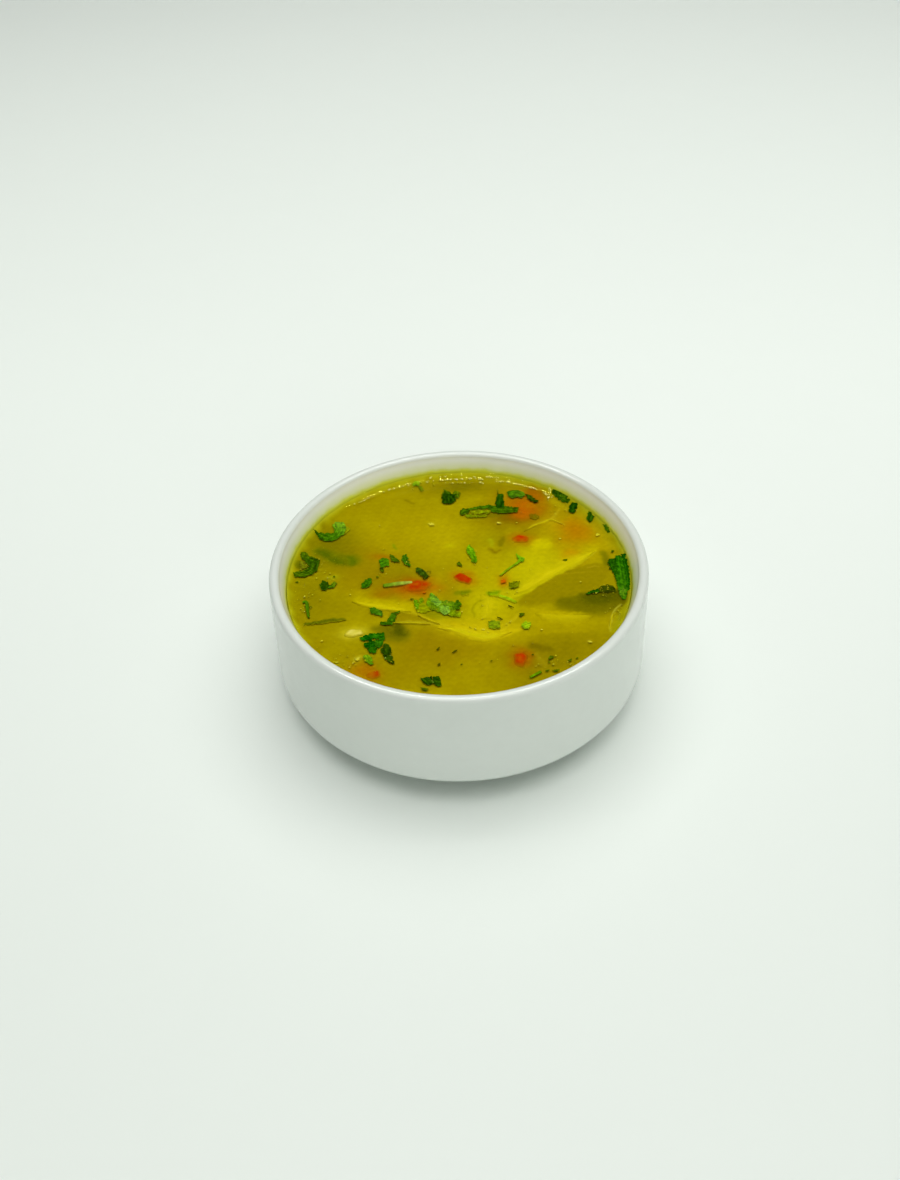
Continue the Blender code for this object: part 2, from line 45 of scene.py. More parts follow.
MM = 0.001                                # the shapes below are in millimetres
WALL_LOSS = 1.02                          # makes up for the light that the bowl's walls keep off

TABLE_SIZE = 5000.0
# Painted shade: the table is darker at the front and lighter at the back, a painted falloff of the
# light over it.
TABLE_BACK = (0.88, 0.925, 0.885)
TABLE_FRONT_PAINTED_SHADE = (0.765, 0.806, 0.77)
TABLE_PAINTED_FALLOFF_SPAN = (-0.2, 0.25)                 # metres: the painted falloff, from the darker front colour to the lighter back one
SKY_COLOUR = (0.93, 1.0, 0.95)
SKY_STRENGTH = 0.16
LAMP_COLOUR = (0.985, 1.0, 0.965)
LAMPS = (                                 # name, place, sides in metres, watts, in gloss, lights
    ("overhead_softbox", (0.12, 0.12, 1.5), (1.9, 1.9), 28.0, False, True),
    ("front_fill", (0.4, -1.7, 0.6), (1.2, 0.7), 5.0, False, True),
    ("glint_strip", (0.0, 0.42, 1.5), (1.5, 0.08), 26.0, True, False),
    ("second_strip", (0.0, -0.45, 1.5), (1.2, 0.05), 8.0, True, False),
)

CAMERA_PLACE = (-3.9, -320.8, 332.0)
CAMERA_PITCH = math.radians(42.53)        # below the horizon
CAMERA_YAW = math.radians(-0.09)
CAMERA_ROLL = math.radians(-2.13)
FOCAL_PIXELS = 1150.0                     # for a picture 1180 pixels high
PICTURE_HEIGHT = 1180.0
SENSOR_MM = 36.0


def add_object(name, data):
    placed = bpy.data.objects.new(name, data)
    bpy.context.scene.collection.objects.link(placed)
    return placed


def to_linear(display):
    """Display colours of 0 to 255 as linear light, by the sRGB curve."""
    share = np.clip(np.asarray(display, dtype=float) / 255.0, 0.0, 1.0)
    return np.where(share <= 0.04045, share / 12.92, ((share + 0.055) / 1.055) ** 2.4)


def build_mesh(name, points, faces, colours=None, sharp_degrees=50.0):
    """An object from points in millimetres, arrays of faces and a display colour a point.

    The colours go into the attribute "tint" as linear light."""
    mesh = bpy.data.meshes.new(name)
    face_list = [tuple(face) for block in faces for face in np.asarray(block).tolist()]
    mesh.from_pydata((points * MM).tolist(), [], face_list)
    if colours is not None:
        tint = mesh.color_attributes.new("tint", "FLOAT_COLOR", "POINT")
        rgba = np.ones((len(points), 4))
        rgba[:, :3] = to_linear(colours) * WALL_LOSS
        tint.data.foreach_set("color", rgba.ravel())
    mesh.shade_smooth()
    mesh.set_sharp_from_angle(angle=math.radians(sharp_degrees))
    mesh.validate()
    return add_object(name, mesh)


def grid_faces(rows, columns, start=0, closed=False):
    """Quads of a grid numbered row by row; a closed grid's last column joins its first."""
    row, column = np.meshgrid(np.arange(rows - 1), np.arange(columns if closed else columns - 1),
                              indexing="ij")
    after = (column + 1) % columns
    quads = np.stack([row * columns + column, row * columns + after,
                      (row + 1) * columns + after, (row + 1) * columns + column], axis=-1)
    return start + quads.reshape(-1, 4)


def new_material(name, roughness, **sockets):
    """A material with one Principled shader; each named socket is set on the shader itself."""
    material = bpy.data.materials.new(name)
    material.use_nodes = True
    shader = material.node_tree.nodes["Principled BSDF"]
    shader.inputs["Roughness"].default_value = roughness
    for socket, value in sockets.items():
        shader.inputs[socket.replace("_", " ")].default_value = value
    return material, material.node_tree, shader


def add_node(tree, kind, inputs=None, **settings):
    """A shader node with its plain settings. Each of its inputs, by name or by number, is given
    a socket to link or a value."""
    node = tree.nodes.new("ShaderNode" + kind)
    for setting, value in settings.items():
        setattr(node, setting, value)
    for socket, value in (inputs or {}).items():
        if isinstance(value, bpy.types.NodeSocket):
            tree.links.new(value, node.inputs[socket])
        else:
            node.inputs[socket].default_value = value
    return node


def add_mix(tree, factor, first, second, blend="MIX"):
    """A colour mix; factor, first and second are sockets or plain values."""
    node = add_node(tree, "Mix", data_type="RGBA", blend_type=blend)
    for socket, value in (("Factor", factor), ("A", first), ("B", second)):
        slot = next(s for s in node.inputs if s.name == socket and s.enabled
                    and (socket == "Factor" or s.type == "RGBA"))
        if isinstance(value, bpy.types.NodeSocket):
            tree.links.new(value, slot)
        else:
            slot.default_value = value if socket == "Factor" else (*value, 1.0)
    return next(s for s in node.outputs if s.enabled and s.type == "RGBA")


def make_mottle_group():
    """Node group: two scales of noise on the object's own place, as a value and as a height.

    value = mean of a broad and a fine noise, spread by Contrast about 0.5."""
    group = bpy.data.node_groups.new("mottle", "ShaderNodeTree")
    for socket, default in (("Broad", 80.0), ("Fine", 600.0), ("Contrast", 1.0)):
        face = group.interface.new_socket(socket, in_out="INPUT", socket_type="NodeSocketFloat")
        face.default_value = default
    for socket in ("Value", "Height"):
        group.interface.new_socket(socket, in_out="OUTPUT", socket_type="NodeSocketFloat")
    ins = group.nodes.new("NodeGroupInput")
    outs = group.nodes.new("NodeGroupOutput")
    place = add_node(group, "TexCoord").outputs["Object"]
    broad, fine = (add_node(group, "TexNoise", {"Detail": 3.0, "Vector": place,
                                                "Scale": ins.outputs[scale]}).outputs["Fac"]
                   for scale in ("Broad", "Fine"))
    total = add_node(group, "Math", {0: broad, 1: fine}, operation="ADD").outputs[0]
    centred = add_node(group, "Math", {0: total, 1: 1.0}, operation="SUBTRACT").outputs[0]
    spread = add_node(group, "Math", {0: centred, 1: ins.outputs["Contrast"], 2: 0.5},
                      operation="MULTIPLY_ADD", use_clamp=True)
    group.links.new(spread.outputs[0], outs.inputs["Value"])
    group.links.new(total, outs.inputs["Height"])
    return group


mottle_group = make_mottle_group()


def add_mottle(tree, broad, fine, contrast):
    """The mottle group placed in a material with its own values."""
    return add_node(tree, "Group", {"Broad": broad, "Fine": fine, "Contrast": contrast},
                    node_tree=mottle_group)


table_material, tree, shader = new_material("pale_table", 0.65)
mottle = add_mottle(tree, 3.0, 40.0, 0.6)
place = add_node(tree, "TexCoord").outputs["Object"]
depth = add_node(tree, "SeparateXYZ", {"Vector": place}).outputs["Y"]
# painted shade: the table colour darkens towards the front
painted_falloff = add_node(tree, "MapRange", {"Value": depth, "From Min": TABLE_PAINTED_FALLOFF_SPAN[0],
                                      "From Max": TABLE_PAINTED_FALLOFF_SPAN[1]}, interpolation_type="SMOOTHSTEP")
plain = add_mix(tree, painted_falloff.outputs["Result"], TABLE_FRONT_PAINTED_SHADE, TABLE_BACK)
cloudy = add_mix(tree, 1.0, plain, (0.985, 0.985, 0.985), "MULTIPLY")
tree.links.new(add_mix(tree, mottle.outputs["Value"], plain, cloudy), shader.inputs["Base Color"])
edge = np.linspace(-0.5, 0.5, 9) * TABLE_SIZE
table_x, table_y = np.meshgrid(edge, edge)
table = build_mesh("table", np.stack([table_x, table_y, 0.0 * table_x], -1).reshape(-1, 3),
                   [grid_faces(len(edge), len(edge))])
table.data.materials.append(table_material)

for name, place, sides, watts, in_gloss, lights in LAMPS:
    lamp = bpy.data.lights.new(name, "AREA")
    lamp.shape = "RECTANGLE"
    lamp.size, lamp.size_y = sides
    lamp.energy = watts
    lamp.color = LAMP_COLOUR
    hung = add_object(name, lamp)
    hung.visible_glossy = in_gloss
    hung.visible_diffuse = lights
    aim = (-Vector(place)).to_track_quat("-Z", "Y")
    hung.matrix_world = Matrix.Translation(Vector(place)) @ aim.to_matrix().to_4x4()

sky = bpy.data.worlds.new("studio")
sky.use_nodes = True
background = sky.node_tree.nodes["Background"]
background.inputs["Color"].default_value = (*SKY_COLOUR, 1.0)
background.inputs["Strength"].default_value = SKY_STRENGTH
bpy.context.scene.world = sky
bpy.context.scene.view_settings.view_transform = "Standard"

forward = Vector((-math.sin(CAMERA_YAW) * math.cos(CAMERA_PITCH),
                  math.cos(CAMERA_YAW) * math.cos(CAMERA_PITCH), -math.sin(CAMERA_PITCH)))
level_right = Vector((math.cos(CAMERA_YAW), math.sin(CAMERA_YAW), 0.0))
level_up = level_right.cross(forward)
right = level_right * math.cos(CAMERA_ROLL) + level_up * math.sin(CAMERA_ROLL)
up = level_up * math.cos(CAMERA_ROLL) - level_right * math.sin(CAMERA_ROLL)
camera_data = bpy.data.cameras.new("camera")
camera_data.sensor_width = SENSOR_MM
camera_data.lens = SENSOR_MM * FOCAL_PIXELS / PICTURE_HEIGHT
camera_data.clip_start = 0.01
camera = add_object("camera", camera_data)
camera.matrix_world = (Matrix.Translation(Vector(CAMERA_PLACE) * MM)
                       @ Matrix((right, up, -forward)).transposed().to_4x4())
bpy.context.scene.camera = camera


# ------------------------------------------------------------------ bowl
# A straight-sided stackable soup bowl of white hotel porcelain, turned, with a rounded lower edge,
# a foot ring, a thick rounded lip and a coved inside. It is dipped in a clear glossy glaze. Broth
# has left a thin yellow-green film on the wall just above its level.

RIM_RADIUS = 70.0
RIM_HEIGHT = 52.6
LIP_THICKNESS = 3.8
LIP_DROP = 1.7
BELLY_RADIUS = 71.0
BELLY_HEIGHT = 13.5
BELLY_POWER = 1.75
FOOT_OUTER = 44.0
FOOT_INNER = 39.5
FOOT_CHAMFER = 0.8
FOOT_HEIGHT = 1.5
LEDGE_RADIUS = 64.4
LEDGE_HEIGHT = 45.6
COVE_RADIUS_TOP = 63.5
COVE_HEIGHT = 30.0
FLOOR_HEIGHT = 5.5
FLOOR_RADIUS = 38.0
TURN_STEPS = 256

GLAZE_WHITE = (0.805, 0.85, 0.80)
GLAZE_SHADE = (0.77, 0.815, 0.765)
# Painted light: the inner wall is whiter than the outer glaze, standing in for more light falling
# on it.
INSIDE_WALL_PAINTED_LIGHT = (0.95, 0.975, 0.95)
# Painted shade: the top of the lip is painted grey, where it faces the light overhead.
LIP_PAINTED_SHADE = (0.7, 0.735, 0.695)
LIP_START = 50.9                          # the painted shade on the lip starts at this height
LIP_FULL = 52.2                           # and is full from this height, over the top of the lip
FILM_LOW = 45.4                           # the ragged film is strongest at this height
STAINS = (                                # colour, height where it is gone, swing, strength
    ((0.68, 0.74, 0.22), 50.9, 1.0, 0.8),
    ((0.68, 0.71, 0.03), 47.4, 2.0, 0.95),
)


def tube_faces(stations, around):
    """Quads of a closed tube and the fans that close its two ends on poles added last."""
    step = np.arange(around)
    after = (step + 1) % around
    last = (stations - 1) * around
    pole = stations * around
    return [grid_faces(stations, around, closed=True),
            np.stack([np.full(around, pole), after, step], axis=-1),
            np.stack([np.full(around, pole + 1), last + step, last + after], axis=-1)]


def ring_points(radius, height, angle):
    """Rings about the upright axis, one for each radius and height, with a point an angle."""
    return np.stack([np.outer(radius, np.cos(angle)), np.outer(radius, np.sin(angle)),
                     np.outer(height, np.ones_like(angle))], axis=-1).reshape(-1, 3)


def cove(rows):
    """Radii and heights of the coved wall inside, a quarter of an ellipse, from its top down."""
    quarter = np.linspace(0.5 * np.pi, 0.0, rows)
    return (FLOOR_RADIUS + (COVE_RADIUS_TOP - FLOOR_RADIUS) * np.sin(quarter),
            COVE_HEIGHT - (COVE_HEIGHT - FLOOR_HEIGHT) * np.cos(quarter))


def straight(start, end, shares):
    return start + (np.asarray(end) - start) * shares[:, None]


def bowl_profile():
    """From under the floor, out over the foot ring, up the belly (a superellipse), over the lip
    (half an ellipse), down the ledge and the coved wall to the floor."""
    foot = [[0.0, FOOT_HEIGHT], [0.6 * FOOT_INNER, FOOT_HEIGHT], [FOOT_INNER, FOOT_HEIGHT],
            [FOOT_INNER + FOOT_CHAMFER, 0.0], [FOOT_OUTER - FOOT_CHAMFER, 0.0]]
    rise = np.linspace(0.0, 1.0, 22) ** 1.6
    bulge = (1.0 - (1.0 - rise) ** BELLY_POWER) ** (1.0 / BELLY_POWER)
    belly = np.stack([FOOT_OUTER + (BELLY_RADIUS - FOOT_OUTER) * bulge,
                      FOOT_HEIGHT + (BELLY_HEIGHT - FOOT_HEIGHT) * rise], axis=-1)
    wall = straight(belly[-1], (RIM_RADIUS, RIM_HEIGHT - LIP_DROP),
                    np.linspace(0.0, 1.0, 14)[1:-1])
    half_turn = np.linspace(0.0, np.pi, 17)
    lip = np.stack([RIM_RADIUS + 0.5 * LIP_THICKNESS * (np.cos(half_turn) - 1.0),
                    RIM_HEIGHT + LIP_DROP * (np.sin(half_turn) - 1.0)], axis=-1)
    ledge = (LEDGE_RADIUS, LEDGE_HEIGHT)
    shoulder = straight(lip[-1], ledge, np.linspace(0.0, 1.0, 12)[1:] ** 0.8)
    inner_wall = straight(np.array(ledge), (COVE_RADIUS_TOP, COVE_HEIGHT),
                          np.linspace(0.0, 1.0, 8)[1:])
    floor = [[0.5 * FLOOR_RADIUS, FLOOR_HEIGHT], [0.0, FLOOR_HEIGHT]]
    return np.concatenate([foot, belly, wall, lip, shoulder, inner_wall,
                           np.stack(cove(16), axis=-1)[1:], floor])


def turned_bowl():
    """Solid of revolution: each (radius, height) of the profile becomes a ring, and its first
    and last, on the axis, become poles."""
    profile = bowl_profile()
    radius, height = profile[1:-1].T
    rings = ring_points(radius, height, 2.0 * np.pi * np.arange(TURN_STEPS) / TURN_STEPS)
    poles = [[0.0, 0.0, profile[0, 1]], [0.0, 0.0, profile[-1, 1]]]
    return build_mesh("porcelain_bowl", np.concatenate([rings, poles]),
                      tube_faces(len(radius), TURN_STEPS))


def add_bump(tree, shader, height, strength, distance):
    """A bump from a height socket into the shader's normal."""
    bump = add_node(tree, "Bump", {"Strength": strength, "Distance": distance, "Height": height})
    tree.links.new(bump.outputs["Normal"], shader.inputs["Normal"])


bowl = turned_bowl()
glaze, tree, shader = new_material("white_glaze", 0.2, IOR=1.45)
mottle = add_mottle(tree, 28.0, 260.0, 0.9)
place = add_node(tree, "TexCoord").outputs["Object"]
height = add_node(tree, "SeparateXYZ", {"Vector": place}).outputs["Z"]
ragged = add_node(tree, "TexNoise", {"Vector": place, "Scale": 190.0, "Detail": 4.0})
across = add_node(tree, "VectorMath", {0: place, 1: (1.0, 1.0, 0.0)}, operation="MULTIPLY")
radius = add_node(tree, "VectorMath", {0: across.outputs[0]}, operation="LENGTH")
inside = add_node(tree, "Math", {0: radius.outputs["Value"],
                                 1: (RIM_RADIUS - 0.5 * LIP_THICKNESS) * MM},
                  operation="LESS_THAN")
above = add_node(tree, "Math", {0: height, 1: COVE_HEIGHT * MM}, operation="GREATER_THAN")
wall = add_node(tree, "Math", {0: inside.outputs[0], 1: above.outputs[0]}, operation="MULTIPLY")
glazed = add_mix(tree, mottle.outputs["Value"], GLAZE_WHITE, GLAZE_SHADE)
# painted light on the inner wall
glazed = add_mix(tree, wall.outputs[0], glazed, INSIDE_WALL_PAINTED_LIGHT)
for stain, high, swing, strength in STAINS:
    lift = add_node(tree, "Math", {0: ragged.outputs["Fac"], 1: -swing * MM, 2: height},
                    operation="MULTIPLY_ADD")
    fade = add_node(tree, "MapRange", {
        "Value": lift.outputs[0], "From Min": (FILM_LOW - 0.5 * swing) * MM,
        "From Max": (high - 0.5 * swing) * MM, "To Min": strength, "To Max": 0.0},
        interpolation_type="SMOOTHSTEP")
    film = add_node(tree, "Math", {0: fade.outputs["Result"], 1: wall.outputs[0]},
                    operation="MULTIPLY")
    glazed = add_mix(tree, film.outputs[0], glazed, stain)
# painted shade over the top of the lip
thin = add_node(tree, "MapRange", {"Value": height, "From Min": LIP_START * MM,
                                   "From Max": LIP_FULL * MM}, interpolation_type="SMOOTHSTEP")
tree.links.new(add_mix(tree, thin.outputs["Result"], glazed, LIP_PAINTED_SHADE),
               shader.inputs["Base Color"])
add_bump(tree, shader, mottle.outputs["Height"], 0.05, 0.0006)
bowl.data.materials.append(glaze)
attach(bowl, "root")
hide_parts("bowl")


# ------------------------------------------------------------------ broth
# Yellow chicken broth fills the bowl to about 9 mm below the lip and climbs the wall a little. It
# is murky: sunk meat, carrot and herbs show as soft patches of colour. The body of the broth ends
# just under the level, and a clear wet surface lies over it.

BROTH_LEVEL = 43.0
MENISCUS_RISE = 2.2
MENISCUS_REACH = 2.0
BODY_DEPTH = 0.7                          # the murky body lies this far under the wet surface
BODY_EDGE = 0.12                          # and this far at the wall
BODY_SLANT = 1.2                          # its patches lie back by this share of their depth
BODY_GRID = 290
SURFACE_RINGS = 90
SURFACE_STEPS = 512

BROTH_COLOUR = (161, 146, 0)
BROTH_LIGHT = (177, 163, 2)
BROTH_DEEP = (146, 129, 0)
FRINGE_COLOUR = (188, 184, 10)
SHORE_COLOUR = (206, 204, 50)

# Clouds in the broth: middle, half length, half width, heading, softness, colour, strength
CLOUDS = (
    # broad lighter and darker water
    ((-28, 50), 24, 9, 30, 0.35, (158, 143, 0), 0.8),
    ((5, 56), 16, 4, 0, 0.35, (138, 124, 0), 0.8),
    ((-14, 27), 19, 13, 0, 0.35, (176, 159, 0), 0.8),
    ((-37, 9), 9, 14, 0, 0.3, (152, 128, 0), 0.75),
    ((-50, 21), 10, 11, 0, 0.35, (122, 114, 0), 0.85),
    ((-57, -6), 7, 16, 0, 0.3, (138, 128, 0), 0.7),
    ((-44, -13), 9, 7, 0, 0.3, (146, 132, 0), 0.7),
    ((-42, -30), 15, 9, -40, 0.3, (161, 147, 0), 0.7),
    ((-8, -36), 19, 9, -8, 0.3, (149, 126, 0), 0.85),
    ((-22, -48), 14, 7, -12, 0.3, (152, 131, 0), 0.7),
    ((2, -51), 15, 6, 0, 0.3, (164, 147, 0), 0.7),
    ((34, -40), 17, 10, 40, 0.3, (137, 121, 0), 0.85),
    ((48, -27), 8, 9, 0, 0.3, (146, 131, 0), 0.7),
    ((47, 24), 10, 11, 0, 0.35, (174, 142, 0), 0.85),
    ((52, 14), 8, 6, 10, 0.3, (174, 158, 2), 0.7),
    ((38, 41), 8, 6, 0, 0.3, (156, 136, 0), 0.8),
    ((21.6, 34.2), 7.4, 4, 0, 0.35, (140, 116, 0), 0.85),
    # painted shadow: the dark brown patch in front of the carrot
    ((23, 36.5), 7, 3.4, 0, 0.4, (110, 86, 0), 0.75),
    ((13.4, 22.6), 6, 4, 10, 0.4, (148, 138, 0), 0.6),
    ((31, 27), 7, 4, 20, 0.35, (148, 128, 0), 0.6),
    ((-21, 3), 9, 6, 0, 0.35, (138, 122, 0), 0.75),
    ((2, 56.8), 7, 2.2, 0, 0.35, (116, 108, 0), 0.7),
    ((20.6, 19), 4, 3.6, 0, 0.4, (144, 124, 0), 0.6),
    ((-6, -19), 8, 3, -8, 0.35, (128, 138, 0), 0.65),
    ((19.6, -8.8), 3, 2.2, 0, 0.4, (146, 148, 0), 0.5),
    # meat glowing through from below
    ((27, 6.6), 14, 9.4, 36, 0.3, (192, 183, 4), 0.95),
    ((33, 18.4), 4.6, 3.2, -4, 0.1, (197, 188, 2), 0.85),
    ((8, 3), 8, 10, 0, 0.4, (180, 167, 0), 0.85),
    ((10, -16), 8, 9, 0, 0.3, (190, 181, 3), 0.9),
    ((6, -27), 14, 5, -14, 0.25, (197, 180, 5), 0.8),
    ((36, -24), 17, 6, -5, 0.3, (177, 161, 0), 0.85),
    ((-5, 24), 6, 8, 0, 0.4, (180, 165, 6), 0.5),
    ((-38, -7), 4, 3, 0, 0.4, (176, 160, 0), 0.7),
    ((39.4, 30), 5, 5, 50, 0.35, (184, 166, 4), 0.65),
    # painted glow round carrot and pepper: their orange and red light scattered through the murk
    ((27.4, 42.6), 8.4, 7, -30, 0.26, (172, 98, 0), 0.92),
    ((32.6, 49.8), 5, 3.2, -50, 0.28, (160, 94, 0), 0.85),
    ((46.6, 25.8), 5.2, 5.8, 0, 0.35, (178, 118, 0), 0.85),
    ((43.5, 11.6), 3, 2.8, 0, 0.35, (186, 132, 0), 0.85),
    ((27, 39.6), 3.4, 4.6, -10, 0.3, (194, 102, 2), 0.7),
    ((34.4, 43), 3, 2.4, 0, 0.4, (162, 122, 0), 0.6),
    ((22, -9), 4, 5, 0, 0.4, (150, 152, 0), 0.3),
    ((18.6, 12), 4, 5, 0, 0.4, (150, 138, 0), 0.35),
    ((-16.6, -3.6), 8, 4.4, 0, 0.28, (170, 84, 0), 0.9),
    ((-28.6, -6.4), 3.4, 2.4, 0, 0.4, (158, 112, 0), 0.8),
    ((-29, 14.6), 3.6, 1.4, -8, 0.4, (166, 104, 0), 0.75),
    ((20.4, -42.2), 3.4, 4.2, 0, 0.3, (166, 92, 0), 0.85),
    ((-33.6, -46), 4.6, 3, -30, 0.3, (174, 112, 0), 0.85),
    ((16.8, -2), 1.8, 2.4, 0, 0.35, (182, 96, 0), 0.85),
    ((25.4, 22.4), 4.2, 2.8, 0, 0.3, (178, 108, 0), 0.8),
    ((2, 0.6), 4.6, 3.2, -38, 0.25, (180, 110, 0), 0.7),
    # pale scraps
    ((-38.6, -26.6), 4.8, 2.8, 6, 0.25, (196, 186, 40), 0.8),
    ((-9.6, 33.3), 1.2, 1.3, 0, 0.3, (188, 181, 30), 0.8),
    ((17, 32.4), 1.3, 0.8, -15, 0.3, (168, 152, 30), 0.8),
    ((-36.8, -39.6), 1.6, 1.1, 40, 0.3, (192, 184, 40), 0.85),
    ((45.2, -35.4), 1, 0.7, 0, 0.3, (172, 156, 30), 0.8),
    ((-47.8, 3.6), 2, 1.1, 10, 0.35, (168, 172, 16), 0.7),
    ((8, -27.4), 1, 0.6, -10, 0.3, (226, 212, 40), 0.8),
    ((-3.2, 19.6), 1.4, 1.2, 0, 0.3, (194, 186, 2), 0.7),
)
